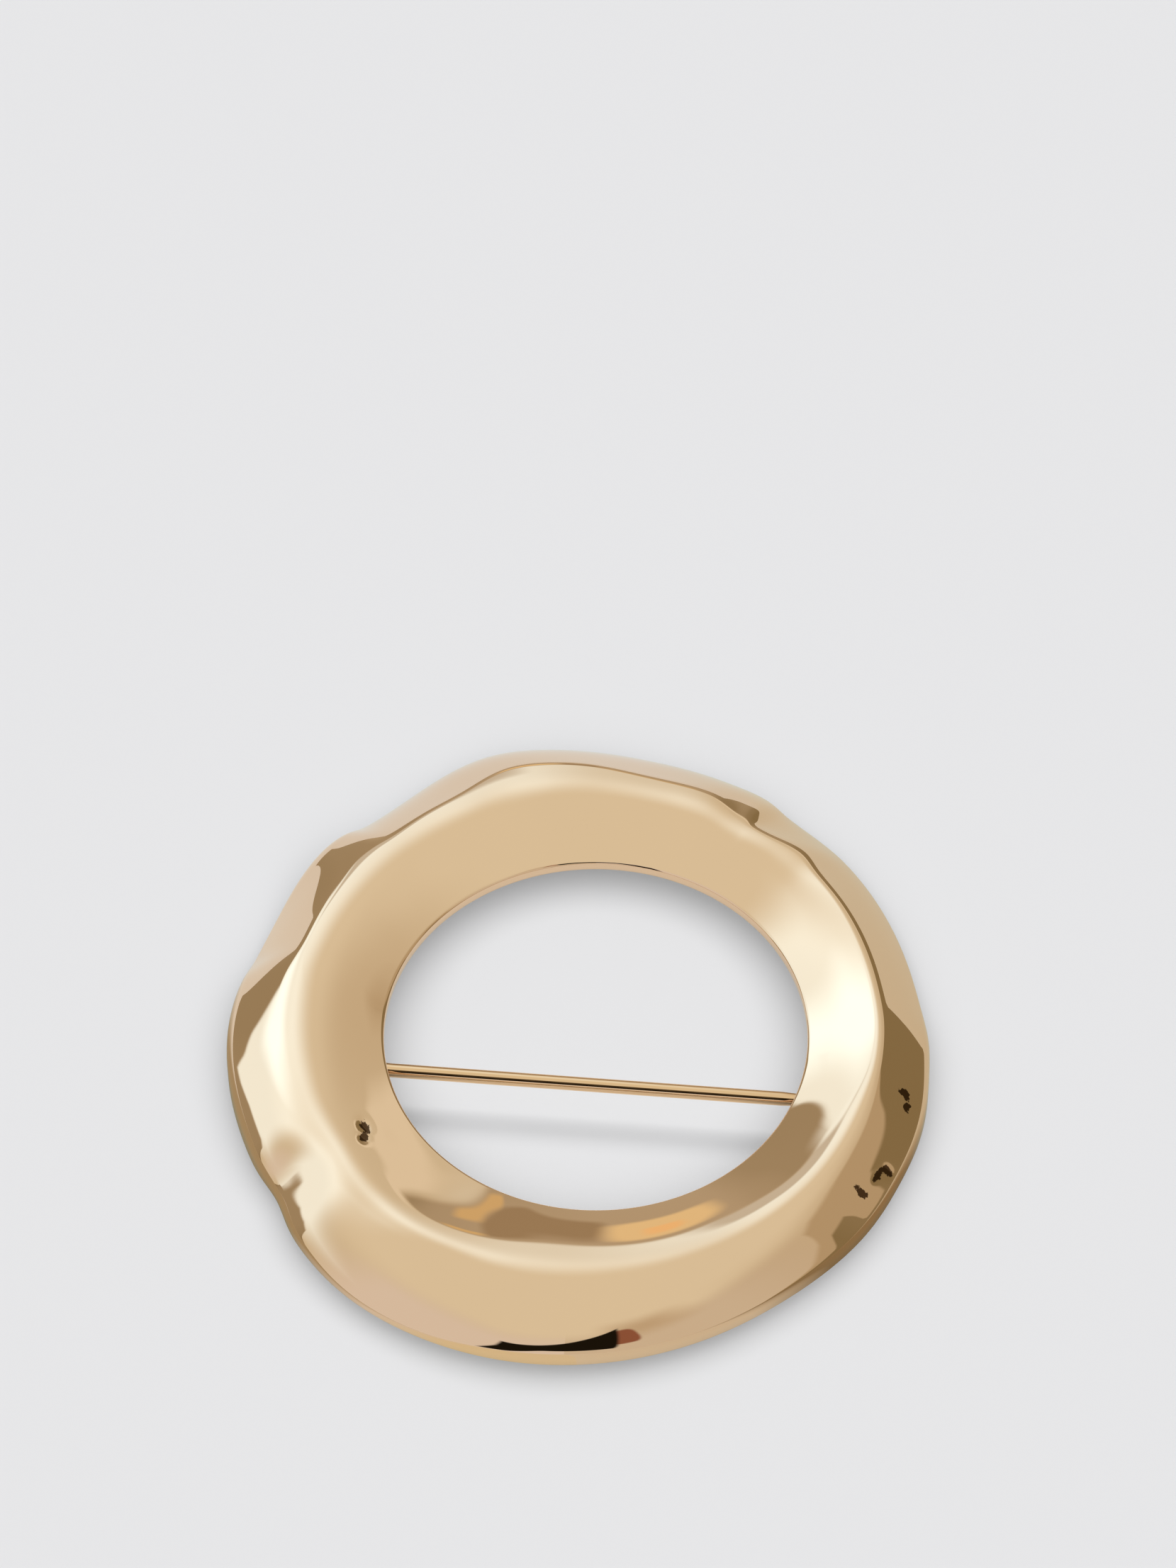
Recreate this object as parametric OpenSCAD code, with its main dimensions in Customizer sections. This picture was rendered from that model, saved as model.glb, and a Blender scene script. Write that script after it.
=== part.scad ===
/* [Shell] */
// Radius of the round hole, measured at the top of its edge
hole_r = 16.3; // [16.1:0.05:16.5]
// How much the hole is longer along X than along Y, on each side
hole_stretch = 0.1; // [0:0.05:0.3]
// How far the middle of the hole's edge lies towards +X and +Y from the folds' own middle
hole_shift = 0.3; // [0.1:0.05:0.4]
// Height of the top of the hole's edge above the surface that the ring lies on
hole_z = 3.9; // [3.85:0.05:4.1]
// Height of the upright edge round the hole
edge_h = 0.9; // [0.6:0.05:0.95]
// Angle by which the ring leans on its far edge, with its near side raised by the pin's fittings
lean = 2; // [1.5:0.1:2.2]
// Distance from the folds' middle to the far edge, where the ring touches the surface
far_reach = 29.5; // [29.4:0.1:30]
// Share of the outer edge's upright side that is rounded off
edge_soft = 0.35; // [0.2:0.05:0.4]
// Width of the flat foot under the outer edge
foot_w = 0.75; // [0.6:0.05:0.9]
// Thickness of the cast shell
wall = 0.8; // [0.6:0.05:1]
// How much softer the crest is on the underside than on the top
under_soft = 2.4; // [2:0.1:3]

/* [Pin stem] */
// Diameter of the stem's wire
stem_d = 1.1; // [0.9:0.05:1.2]
// Height of the stem's centre line above the surface that the ring lies on
stem_z = 2.2; // [2.1:0.05:2.3]
// Angle between the stem and the X axis, seen from above
stem_turn = -5; // [-8:0.5:-3]
// Distance from the hole's centre to the stem's centre line
stem_off = 3.35; // [3:0.05:3.7]
// Distance along the stem from its point nearest the hole's centre to the hinge axis
hinge_reach = 20.6; // [20.2:0.1:21]
// Distance along the stem from the same point to the middle of the catch
catch_reach = 19.4; // [19:0.1:20]
// Length of the stem beyond the middle of the catch
tip_beyond = 1.8; // [1.5:0.1:2]
// Length of the straight wire that crosses the hole and carries the cloth
span = 30; // [28:0.5:30]
// Diameter of the thicker root next to the eye
root_d = 1.2; // [1.1:0.05:1.3]
// Length over which the root narrows to the wire
root_taper = 2; // [1:0.5:3]
// Diameter of the rounded tip
tip_d = 0.36; // [0.3:0.02:0.5]

/* [Hinge] */
// Diameter of the rivet that the stem turns on
rivet_d = 1.0; // [0.9:0.05:1.05]
// Diameter of the rivet's two heads
head_d = 1.6; // [1.5:0.05:1.8]
// Thickness of the rivet's heads
head_t = 0.3; // [0.2:0.05:0.4]
// Outer diameter of the eye at the stem's end
eye_d = 2.0; // [1.9:0.05:2.1]
// Width of the eye between the two ears
eye_w = 1.4; // [1.2:0.1:1.6]
// Thickness of each ear of the bracket
ear_t = 0.5; // [0.4:0.05:0.6]
// Clearance round the rivet in the eye, and on each side of the eye
run_gap = 0.06; // [0.04:0.01:0.1]
// Thickness of the bracket's foot
foot_t = 0.45; // [0.4:0.05:0.5]
// Length of the bracket's foot along the stem
foot_len = 3.6; // [3:0.1:4]
// Gap between the surface that the ring lies on and the lower ends of the ears and prongs
rest_gap = 0.05; // [0:0.01:0.1]

/* [Catch] */
// Width of the catch along the stem
catch_w = 2.0; // [1.6:0.1:2.4]
// Thickness of each prong of the catch
prong_t = 0.6; // [0.5:0.05:0.8]
// Clearance between the stem and the catch
catch_gap = 0.06; // [0.04:0.01:0.1]

/* [Hidden] */
$fn = 48;

GOLD = "#d9b989";
GOLD_WIRE = "#d2a873";

// One row for each fold of the ring.
// angle: where it lies, from +X towards +Y.
// crest_r, crest_z: where the inner and the outer face meet.
// rim_r, rim_z: where the outer face would meet the upright side of the outer edge.
// in_tilt, top_tilt: slope of the inner face at the hole and at the crest, in degrees.
// fall_tilt, rim_tilt: slope of the outer face at the crest and at the outer edge.
// soft: length over which the crest is rounded, on each side of it.
ANGLE = 0;
CREST_R = 1;
CREST_Z = 2;
RIM_R = 3;
RIM_Z = 4;
IN_TILT = 5;
TOP_TILT = 6;
FALL_TILT = 7;
RIM_TILT = 8;
SOFT = 9;
FOLDS = [
    // angle, crest_r, crest_z, rim_r, rim_z, in_tilt, top_tilt, fall_tilt, rim_tilt, soft
    [-5, 22.3, 5.8, 26.2, 2.9, 20, 14, -30, -38, 0.6],
    [2, 22.4, 5.8, 26.2, 2.5, 20, 14, -38, -48, 0.6],
    [10, 22.4, 5.7, 26.0, 1.7, 21, 12, -44, -54, 0.6],
    [21, 22.5, 5.7, 26.3, 1.4, 22, 10, -44, -56, 0.6],
    [32, 22.7, 5.7, 26.8, 1.3, 23, 6, -43, -56, 0.5],
    [40, 22.9, 5.6, 27.2, 1.2, 24, 0, -43, -56, 0.5],
    [45, 23.4, 5.6, 27.4, 1.2, 24, -6, -38, -54, 0.6],
    [51, 22.9, 5.7, 27.5, 1.2, 24, -4, -42, -56, 0.5],
    [55.5, 22.8, 5.7, 27.7, 1.3, 24, -6, -42, -54, 0.4],
    [57.5, 22.8, 5.7, 27.6, 2.1, 24, -6, -14, -54, 0.4],
    [61, 23.1, 5.7, 28.0, 1.9, 24, -8, -18, -54, 0.4],
    [66, 24.0, 5.7, 28.3, 1.5, 24, -12, -32, -56, 0.4],
    [73, 24.1, 5.7, 28.7, 1.2, 24, -12, -40, -56, 0.4],
    [81, 24.2, 5.7, 29.0, 1.1, 24, -12, -38, -58, 0.3],
    [90, 24.9, 5.7, 29.6, 1.0, 24, -13, -38, -58, 0.3],
    [98, 25.3, 5.7, 30.0, 1.1, 24, -13, -36, -58, 0.3],
    [106, 25.5, 5.6, 30.2, 1.2, 24, -12, -34, -58, 0.3],
    [114, 24.4, 5.7, 29.5, 1.2, 24, -9, -38, -58, 0.3],
    [122, 24.1, 5.7, 28.7, 1.1, 24, -7, -38, -60, 0.3],
    [130, 23.9, 5.7, 28.3, 1.5, 24, -6, -36, -56, 0.4],
    [134, 23.9, 5.7, 28.2, 3.0, 24, -6, -18, -38, 0.4],
    [140, 23.8, 5.7, 28.2, 3.5, 24, -6, -13, -30, 0.4],
    [147, 23.7, 5.7, 28.1, 2.5, 23, -6, -22, -42, 0.4],
    [153, 23.7, 5.7, 27.9, 1.7, 23, -6, -32, -52, 0.4],
    [160, 23.7, 5.7, 27.9, 1.3, 22, -6, -40, -54, 0.4],
    [164, 23.8, 5.7, 28.0, 1.9, 22, -6, -28, -50, 0.5],
    [168, 23.7, 5.7, 28.1, 2.9, 22, -5, -15, -38, 0.8],
    [175, 23.4, 5.7, 28.3, 3.2, 22, -4, -8, -38, 1.4],
    [183, 23.2, 5.7, 28.3, 3.3, 22, -4, -5, -44, 1.8],
    [193, 22.9, 5.7, 28.1, 3.3, 20, -2, -5, -50, 1.8],
    [202, 22.6, 5.7, 28.0, 3.2, 18, 4, -6, -50, 1.8],
    [213, 22.6, 5.8, 28.3, 3.0, 15, 8, -8, -48, 1.8],
    [224, 22.7, 5.8, 28.9, 2.6, 13, 16, -15, -48, 1.7],
    [233, 22.7, 5.9, 29.2, 2.5, 13, 22, -18, -47, 1.5],
    [243, 22.2, 5.9, 29.2, 2.7, 17, 23, -14, -45, 1.5],
    [251, 21.9, 5.9, 29.1, 3.1, 22, 20, -8, -43, 1.7],
    [260, 21.7, 5.9, 28.9, 3.4, 28, 16, -6, -42, 1.8],
    [273, 21.6, 5.9, 28.4, 3.4, 28, 16, -6, -42, 1.8],
    [288, 21.6, 5.9, 27.7, 3.2, 28, 16, -6, -46, 1.8],
    [301, 21.7, 5.9, 27.1, 3.1, 28, 16, -8, -48, 1.8],
    [312, 21.8, 6.0, 26.9, 3.0, 28, 19, -10, -48, 1.6],
    [322, 21.9, 6.0, 26.8, 2.9, 28, 20, -14, -46, 1.4],
    [332, 21.9, 6.0, 26.5, 2.8, 27, 20, -18, -44, 1.4],
    [340, 22.0, 6.0, 26.5, 2.9, 22, 18, -22, -42, 1.2],
    [348, 22.2, 5.9, 26.4, 3.0, 20, 15, -26, -38, 0.7]
];

// Dents of the hand worked surface.
// angle, radius: the middle. along, across: the spread round the ring and across it.
// depth: how far the surface sinks there, negative where it swells.
DENT_ANGLE = 0;
DENT_R = 1;
DENT_ALONG = 2;
DENT_ACROSS = 3;
DENT_DEPTH = 4;
DENTS = [
    // angle, radius, along, across, depth
    [209.5, 27.2, 1.8, 1.9, 0.75]
];

// The mesh of the ring: steps round it, and steps along each face and across the crest,
// on the top and on the underside, and over the rounded outer edge
TURN_STEPS = 120;
TOP_STEPS = [9, 5];
UNDER_STEPS = [3, 7];
EDGE_STEPS = 3;

N_FOLDS = len(FOLDS);

// A fold's row by its number, which goes on past both ends of the table for the next turn
TURN = [360, 0, 0, 0, 0, 0, 0, 0, 0, 0];
function fold_row(i) = FOLDS[(i + N_FOLDS) % N_FOLDS] + floor(i / N_FOLDS) * TURN;

// The rows from number -1 on, sharpened so that the smooth spline passes close to their values
SHARP = [for (i = [-1:N_FOLDS + 1])
    fold_row(i) - (fold_row(i - 1) - 2 * fold_row(i) + fold_row(i + 1)) / 6];

// The row at any place from 0 to N_FOLDS, between the folds too, on a closed cubic spline
function fold_at(place) =
    let (i = floor(place), t = place - i)
    ((1 - t) ^ 3 * SHARP[i]
        + (3 * t ^ 3 - 6 * t ^ 2 + 4) * SHARP[i + 1]
        + (-3 * t ^ 3 + 3 * t ^ 2 + 3 * t + 1) * SHARP[i + 2]
        + t ^ 3 * SHARP[i + 3]) / 6;

function heading(tilt) = [cos(tilt), sin(tilt)];

// A curve is four control points. A face leaves a and reaches b at the given slopes.
CURVE_REACH = 0.36;
function curve_from(a, b, dir_a, dir_b) =
    let (reach = norm(b - a) * CURVE_REACH)
    [a, a + reach * dir_a, b - reach * dir_b, b];
function on_curve(c, t) =
    (1 - t) ^ 3 * c[0] + 3 * t * (1 - t) ^ 2 * c[1] + 3 * t ^ 2 * (1 - t) * c[2] + t ^ 3 * c[3];
function along_curve(c, t) =
    let (v = (1 - t) ^ 2 * (c[1] - c[0]) + 2 * t * (1 - t) * (c[2] - c[1]) + t ^ 2 * (c[3] - c[2]))
    v / norm(v);

// Places and directions across the band, from the hole's edge to the outer edge.
// extra: softness added to the crest. steps: along each face, and across the crest.
function section(fold, extra, steps) =
    let (
        hole = [hole_r_at(fold[ANGLE]), hole_z],
        crest = [fold[CREST_R], fold[CREST_Z]],
        rim = [fold[RIM_R], fold[RIM_Z]],
        inner = curve_from(hole, crest, heading(fold[IN_TILT]), heading(fold[TOP_TILT])),
        outer = curve_from(crest, rim, heading(fold[FALL_TILT]), heading(fold[RIM_TILT])),
        t_in = 1 - (fold[SOFT] + extra) / norm(crest - hole),
        t_out = (fold[SOFT] + extra) / norm(rim - crest),
        t_edge = 1 - rounding(fold) / norm(rim - crest),
        bend = curve_from(
            on_curve(inner, t_in), on_curve(outer, t_out),
            along_curve(inner, t_in), along_curve(outer, t_out)
        )
    )
    [
        for (i = [0:steps[0]]) let (t = t_in * i / steps[0])
            [on_curve(inner, t), along_curve(inner, t)],
        for (i = [1:steps[1] - 1]) let (t = i / steps[1])
            [on_curve(bend, t), along_curve(bend, t)],
        for (i = [0:steps[0]]) let (t = t_out + (t_edge - t_out) * i / steps[0])
            [on_curve(outer, t), along_curve(outer, t)]
    ];

function hole_r_at(angle) =
    hole_r + hole_stretch * cos(2 * angle) + hole_shift * (cos(angle) + sin(angle));

// Height of the leaning foot's plane at an angle and a radius
function foot_z(angle, r) = (far_reach - r * sin(angle)) * tan(lean);

// How much of the outer edge is rounded off, on its face and on its side
function rounding(fold) = edge_soft * (fold[RIM_Z] - foot_z(fold[ANGLE], fold[RIM_R]));

// How far the dents sink the surface at an angle and a radius
function dent_at(angle, r) = total([
    for (d = DENTS)
        let (
            turn = (angle - d[DENT_ANGLE] + 540) % 360 - 180,
            along = turn * PI / 180 * r / d[DENT_ALONG],
            across = (r - d[DENT_R]) / d[DENT_ACROSS]
        )
        d[DENT_DEPTH] * exp(-(along ^ 2 + across ^ 2) / 2)
]);
function total(values) = values * [for (v = values) 1];

// A place of the section, sunk below the surface
function sunk(angle, spot, depth) =
    spot[0] + (depth + dent_at(angle, spot[0][0])) * [spot[1][1], -spot[1][0]];
function turned(angle, q) = [q[0] * cos(angle), q[0] * sin(angle), q[1]];

// Round the outer edge: from the end of the outer face, over the shoulder, down the upright
// side and along the flat foot
SHOULDER_MIN = 0.02;
function edge_of(fold, spot) =
    let (
        angle = fold[ANGLE],
        start = sunk(angle, spot, 0),
        rim_spot = [[fold[RIM_R], fold[RIM_Z]], spot[1]],
        r = max(sunk(angle, rim_spot, 0)[0], start[0] + SHOULDER_MIN),
        corner = start + spot[1] * (r - start[0]) / spot[1][0],
        end = corner - [0, rounding(fold)],
        foot = [r, foot_z(angle, r)]
    )
    [
        for (i = [1:EDGE_STEPS]) let (t = i / EDGE_STEPS)
            (1 - t) ^ 2 * start + 2 * t * (1 - t) * corner + t ^ 2 * end,
        foot,
        foot - [foot_w, 0]
    ];

// Along the stem, and square to it towards the stem's own side of the hole
STEM_DIR = [cos(stem_turn), sin(stem_turn)];
STEM_SIDE = [sin(stem_turn), -cos(stem_turn)];
STEM_MID = stem_off * STEM_SIDE;
HINGE = STEM_MID - hinge_reach * STEM_DIR;
CATCH = STEM_MID + catch_reach * STEM_DIR;

// Sizes of the bracket and the catch, and the heights of the lands that they are seated on
ear_gap = eye_w + 2 * run_gap;
bracket_w = ear_gap + 2 * ear_t;
bracket_top = 4;
taper_len = catch_reach + tip_beyond - span / 2;
tip_d_at_catch = tip_d + (stem_d - tip_d) * (tip_beyond + catch_w / 2) / taper_len;
slot_w = tip_d_at_catch + 2 * catch_gap;
catch_len = slot_w + 2 * prong_t;
catch_top = 3.7;

// Flat lands under the shell, which reach past the feet that they carry by land_edge
land_edge = 1.4;
LAND_MIDDLE = 0;
LAND_Z = 1;
LAND_LENGTH = 2;
LAND_WIDTH = 3;
LANDS = [
    // middle, height, length along the stem, width across it
    [HINGE, bracket_top, foot_len, bracket_w],
    [CATCH, catch_top, catch_w, catch_len]
];
function on_land(land, x, y) =
    let (v = [x, y] - land[LAND_MIDDLE])
    abs(v * STEM_DIR) < land[LAND_LENGTH] / 2 + land_edge
        && abs(v * STEM_SIDE) < land[LAND_WIDTH] / 2 + land_edge;
function landed(p) =
    let (heights = [for (land = LANDS) if (on_land(land, p[0], p[1])) land[LAND_Z]])
    len(heights) == 0 ? p : [p[0], p[1], heights[0]];

// How deep the stem's root starts inside the eye, and how far the taper narrows at the round tip
root_sink = 0.29;
tip_neck_d = tip_d * 0.94;

// The points round one section of the ring
function ring_loop(fold) =
    let (
        angle = fold[ANGLE],
        top = section(fold, 0, TOP_STEPS),
        under = section(fold, under_soft, UNDER_STEPS),
        last = len(under) - 1,
        edge = edge_of(fold, top[len(top) - 1]),
        foot = edge[len(edge) - 1]
    )
    [
        for (spot = top) turned(angle, sunk(angle, spot, 0)),
        for (q = edge) turned(angle, q),
        for (i = [last:-1:0]) let (q = sunk(angle, under[i], wall))
            landed(turned(angle, [min(q[0], foot[0]), max(q[1], foot_z(angle, q[0]))])),
        turned(angle, [hole_r_at(angle), hole_z - edge_h])
    ];

RING_LOOPS = [for (k = [0:TURN_STEPS - 1]) ring_loop(fold_at(N_FOLDS * k / TURN_STEPS))];
RING_XS = [for (l = RING_LOOPS, p = l) p[0]];
RING_YS = [for (l = RING_LOOPS, p = l) p[1]];
RING_ZS = [for (l = RING_LOOPS, p = l) p[2]];
RING_MIDDLE = [
    (min(RING_XS) + max(RING_XS)) / 2, (min(RING_YS) + max(RING_YS)) / 2, min(RING_ZS)
];

// Moves what is drawn about the hole's centre so that the whole ring is centred on Z
module seated() {
    translate(-RING_MIDDLE) children();
}

// Moves what is drawn along +X, with +Y as its width, to a place on the stem's line
module on_stem(place, height) {
    translate([place[0], place[1], height]) rotate([0, 0, stem_turn]) children();
}

// A round bar along Y, centred
module cross_bar(d, length) {
    rotate([90, 0, 0]) cylinder(d = d, h = length, center = true);
}

module ring() {
    n = len(RING_LOOPS[0]);
    quads = [for (k = [0:TURN_STEPS - 1], i = [0:n - 1])
        [k * n + i, (k + 1) % TURN_STEPS * n + i,
            (k + 1) % TURN_STEPS * n + (i + 1) % n, k * n + (i + 1) % n]];
    triangles = [for (q = quads) each [[q[0], q[1], q[2]], [q[0], q[2], q[3]]]];
    color(GOLD) seated() polyhedron([for (l = RING_LOOPS) each l], triangles, convexity = 6);
}

module hinge_bracket() {
    drop = bracket_top - stem_z;
    ear_mid = (ear_gap + ear_t) / 2;
    ear_low = rest_gap + eye_d / 2 - stem_z;
    color(GOLD) seated() on_stem(HINGE, stem_z) difference() {
        union() {
            translate([-foot_len / 2, -bracket_w / 2, drop - foot_t]) cube([foot_len, bracket_w, foot_t]);
            for (side = [-1, 1]) translate([0, side * ear_mid, 0]) {
                translate([0, 0, ear_low]) cross_bar(eye_d, ear_t);
                translate([-eye_d / 2, -ear_t / 2, ear_low])
                    cube([eye_d, ear_t, drop - foot_t / 2 - ear_low]);
            }
        }
        cross_bar(rivet_d, bracket_w + 1);
    }
}

module hinge_rivet() {
    color(GOLD) seated() on_stem(HINGE, stem_z) {
        cross_bar(rivet_d, bracket_w);
        for (side = [-1, 1]) translate([0, side * (bracket_w + head_t) / 2, 0]) cross_bar(head_d, head_t);
    }
}

// A round length of the stem, from one place along it to another
module stem_part(from, to, d1, d2) {
    translate([from, 0, 0]) rotate([0, 90, 0]) cylinder(d1 = d1, d2 = d2, h = to - from);
}

module pin_stem() {
    root_start = eye_d / 2 - root_sink;
    span_start = hinge_reach - span / 2;
    span_end = hinge_reach + span / 2;
    tip = span_end + taper_len;
    color(GOLD_WIRE) seated() on_stem(HINGE, stem_z) difference() {
        union() {
            cross_bar(eye_d, eye_w);
            stem_part(root_start, span_start - root_taper, root_d, root_d);
            stem_part(span_start - root_taper, span_start, root_d, stem_d);
            stem_part(span_start, span_end, stem_d, stem_d);
            stem_part(span_end, tip, stem_d, tip_neck_d);
            translate([tip, 0, 0]) sphere(d = tip_d);
        }
        cross_bar(rivet_d + 2 * run_gap, eye_w + 1);
    }
}

module catch() {
    low = rest_gap - stem_z;
    color(GOLD) seated() on_stem(CATCH, stem_z) difference() {
        translate([-catch_w / 2, -catch_len / 2, low]) cube([catch_w, catch_len, catch_top - rest_gap]);
        translate([-catch_w / 2 - 1, -slot_w / 2, low - 1]) cube([catch_w + 2, slot_w, 1 - low]);
        rotate([0, 90, 0]) cylinder(d = slot_w, h = catch_w + 2, center = true);
    }
}

ring();
hinge_bracket();
hinge_rivet();
pin_stem();
catch();
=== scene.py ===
"""Ring brooch: a folded gold ring on its pin, on a pale studio floor."""

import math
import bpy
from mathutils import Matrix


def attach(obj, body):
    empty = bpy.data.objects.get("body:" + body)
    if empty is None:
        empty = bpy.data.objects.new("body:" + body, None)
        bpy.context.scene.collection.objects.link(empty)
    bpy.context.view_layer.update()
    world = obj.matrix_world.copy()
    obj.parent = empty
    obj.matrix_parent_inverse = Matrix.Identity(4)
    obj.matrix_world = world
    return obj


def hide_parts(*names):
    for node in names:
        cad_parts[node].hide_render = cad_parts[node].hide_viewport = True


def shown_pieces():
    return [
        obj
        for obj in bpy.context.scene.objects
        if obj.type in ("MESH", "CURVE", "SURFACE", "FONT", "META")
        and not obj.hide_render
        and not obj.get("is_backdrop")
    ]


bl_info = {
    "name": "Ring Brooch",
    "version": (1, 0, 0),
    "blender": (4, 5, 0),
    "location": "3D Viewport > Sidebar > Ring Brooch",
    "description": "Builds a folded gold ring brooch with its pin stem, hinge and catch",
    "category": "Object",
}

import bmesh
import bpy
import numpy as np
from mathutils import Matrix, Vector

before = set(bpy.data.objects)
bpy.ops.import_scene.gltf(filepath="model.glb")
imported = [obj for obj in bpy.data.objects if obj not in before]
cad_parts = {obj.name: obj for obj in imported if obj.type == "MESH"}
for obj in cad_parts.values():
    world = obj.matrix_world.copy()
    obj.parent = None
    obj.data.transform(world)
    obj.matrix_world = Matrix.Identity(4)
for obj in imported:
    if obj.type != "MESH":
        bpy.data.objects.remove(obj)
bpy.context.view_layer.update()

MM = 0.001

# One row for each fold of the ring, in millimetres and degrees.
# angle: where it lies, from +X towards +Y.
# crest_r, crest_z: where the inner and the outer face meet.
# rim_r, rim_z: where the outer face would meet the upright side of the outer edge.
# in_tilt, top_tilt: slope of the inner face at the hole and at the crest.
# fall_tilt, rim_tilt: slope of the outer face at the crest and at the outer edge.
# soft: length over which the crest is rounded, on each side of it.
FOLDS = [
    # angle, crest_r, crest_z, rim_r, rim_z, in_tilt, top_tilt, fall_tilt, rim_tilt, soft
    (-5, 22.3, 5.8, 26.2, 2.9, 20, 14, -30, -38, 0.6),
    (2, 22.4, 5.8, 26.2, 2.5, 20, 14, -38, -48, 0.6),
    (10, 22.4, 5.7, 26.0, 1.7, 21, 12, -44, -54, 0.6),
    (21, 22.5, 5.7, 26.3, 1.4, 22, 10, -44, -56, 0.6),
    (32, 22.7, 5.7, 26.8, 1.3, 23, 6, -43, -56, 0.5),
    (40, 22.9, 5.6, 27.2, 1.2, 24, 0, -43, -56, 0.5),
    (45, 23.4, 5.6, 27.4, 1.2, 24, -6, -38, -54, 0.6),
    (51, 22.9, 5.7, 27.5, 1.2, 24, -4, -42, -56, 0.5),
    (55.5, 22.8, 5.7, 27.7, 1.3, 24, -6, -42, -54, 0.4),
    (57.5, 22.8, 5.7, 27.6, 2.1, 24, -6, -14, -54, 0.4),
    (61, 23.1, 5.7, 28.0, 1.9, 24, -8, -18, -54, 0.4),
    (66, 24.0, 5.7, 28.3, 1.5, 24, -12, -32, -56, 0.4),
    (73, 24.1, 5.7, 28.7, 1.2, 24, -12, -40, -56, 0.4),
    (81, 24.2, 5.7, 29.0, 1.1, 24, -12, -38, -58, 0.3),
    (90, 24.9, 5.7, 29.6, 1.0, 24, -13, -38, -58, 0.3),
    (98, 25.3, 5.7, 30.0, 1.1, 24, -13, -36, -58, 0.3),
    (106, 25.5, 5.6, 30.2, 1.2, 24, -12, -34, -58, 0.3),
    (114, 24.4, 5.7, 29.5, 1.2, 24, -9, -38, -58, 0.3),
    (122, 24.1, 5.7, 28.7, 1.1, 24, -7, -38, -60, 0.3),
    (130, 23.9, 5.7, 28.3, 1.5, 24, -6, -36, -56, 0.4),
    (134, 23.9, 5.7, 28.2, 3.0, 24, -6, -18, -38, 0.4),
    (140, 23.8, 5.7, 28.2, 3.5, 24, -6, -13, -30, 0.4),
    (147, 23.7, 5.7, 28.1, 2.5, 23, -6, -22, -42, 0.4),
    (153, 23.7, 5.7, 27.9, 1.7, 23, -6, -32, -52, 0.4),
    (160, 23.7, 5.7, 27.9, 1.3, 22, -6, -40, -54, 0.4),
    (164, 23.8, 5.7, 28.0, 1.9, 22, -6, -28, -50, 0.5),
    (168, 23.7, 5.7, 28.1, 2.9, 22, -5, -15, -38, 0.8),
    (175, 23.4, 5.7, 28.3, 3.2, 22, -4, -8, -38, 1.4),
    (183, 23.2, 5.7, 28.3, 3.3, 22, -4, -5, -44, 1.8),
    (193, 22.9, 5.7, 28.1, 3.3, 20, -2, -5, -50, 1.8),
    (202, 22.6, 5.7, 28.0, 3.2, 18, 4, -6, -50, 1.8),
    (213, 22.6, 5.8, 28.3, 3.0, 15, 8, -8, -48, 1.8),
    (224, 22.7, 5.8, 28.9, 2.6, 13, 16, -15, -48, 1.7),
    (233, 22.7, 5.9, 29.2, 2.5, 13, 22, -18, -47, 1.5),
    (243, 22.2, 5.9, 29.2, 2.7, 17, 23, -14, -45, 1.5),
    (251, 21.9, 5.9, 29.1, 3.1, 22, 20, -8, -43, 1.7),
    (260, 21.7, 5.9, 28.9, 3.4, 28, 16, -6, -42, 1.8),
    (273, 21.6, 5.9, 28.4, 3.4, 28, 16, -6, -42, 1.8),
    (288, 21.6, 5.9, 27.7, 3.2, 28, 16, -6, -46, 1.8),
    (301, 21.7, 5.9, 27.1, 3.1, 28, 16, -8, -48, 1.8),
    (312, 21.8, 6.0, 26.9, 3.0, 28, 19, -10, -48, 1.6),
    (322, 21.9, 6.0, 26.8, 2.9, 28, 20, -14, -46, 1.4),
    (332, 21.9, 6.0, 26.5, 2.8, 27, 20, -18, -44, 1.4),
    (340, 22.0, 6.0, 26.5, 2.9, 22, 18, -22, -42, 1.2),
    (348, 22.2, 5.9, 26.4, 3.0, 20, 15, -26, -38, 0.7),
]
ANGLE, CREST_R, CREST_Z, RIM_R, RIM_Z, IN_TILT, TOP_TILT, FALL_TILT, RIM_TILT, SOFT = range(10)

# Dents of the hand worked surface: the middle, the spread round the ring and across it, and the depth.
DENTS = [
    # angle, radius, along, across, depth
    (209.5, 27.2, 1.8, 1.9, 0.75),
]

# Small nicks of the upper surface alone, in the same columns. They dent the surface, and their insides
# get a painted dark reflection.
NICKS = [
    # angle, radius, along, across, depth
    (207.6, 19.6, 0.5, 0.3, 0.16),
    (210.4, 20.2, 0.36, 0.3, 0.12),
    (344.6, 25.1, 0.5, 0.26, 0.03),
    (347.0, 24.6, 0.3, 0.4, 0.03),
    (331.6, 25.7, 0.3, 0.3, 0.02),
    (329.4, 25.3, 0.6, 0.2, 0.02),
    (324.6, 25.2, 0.3, 0.5, 0.03),
]
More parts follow.
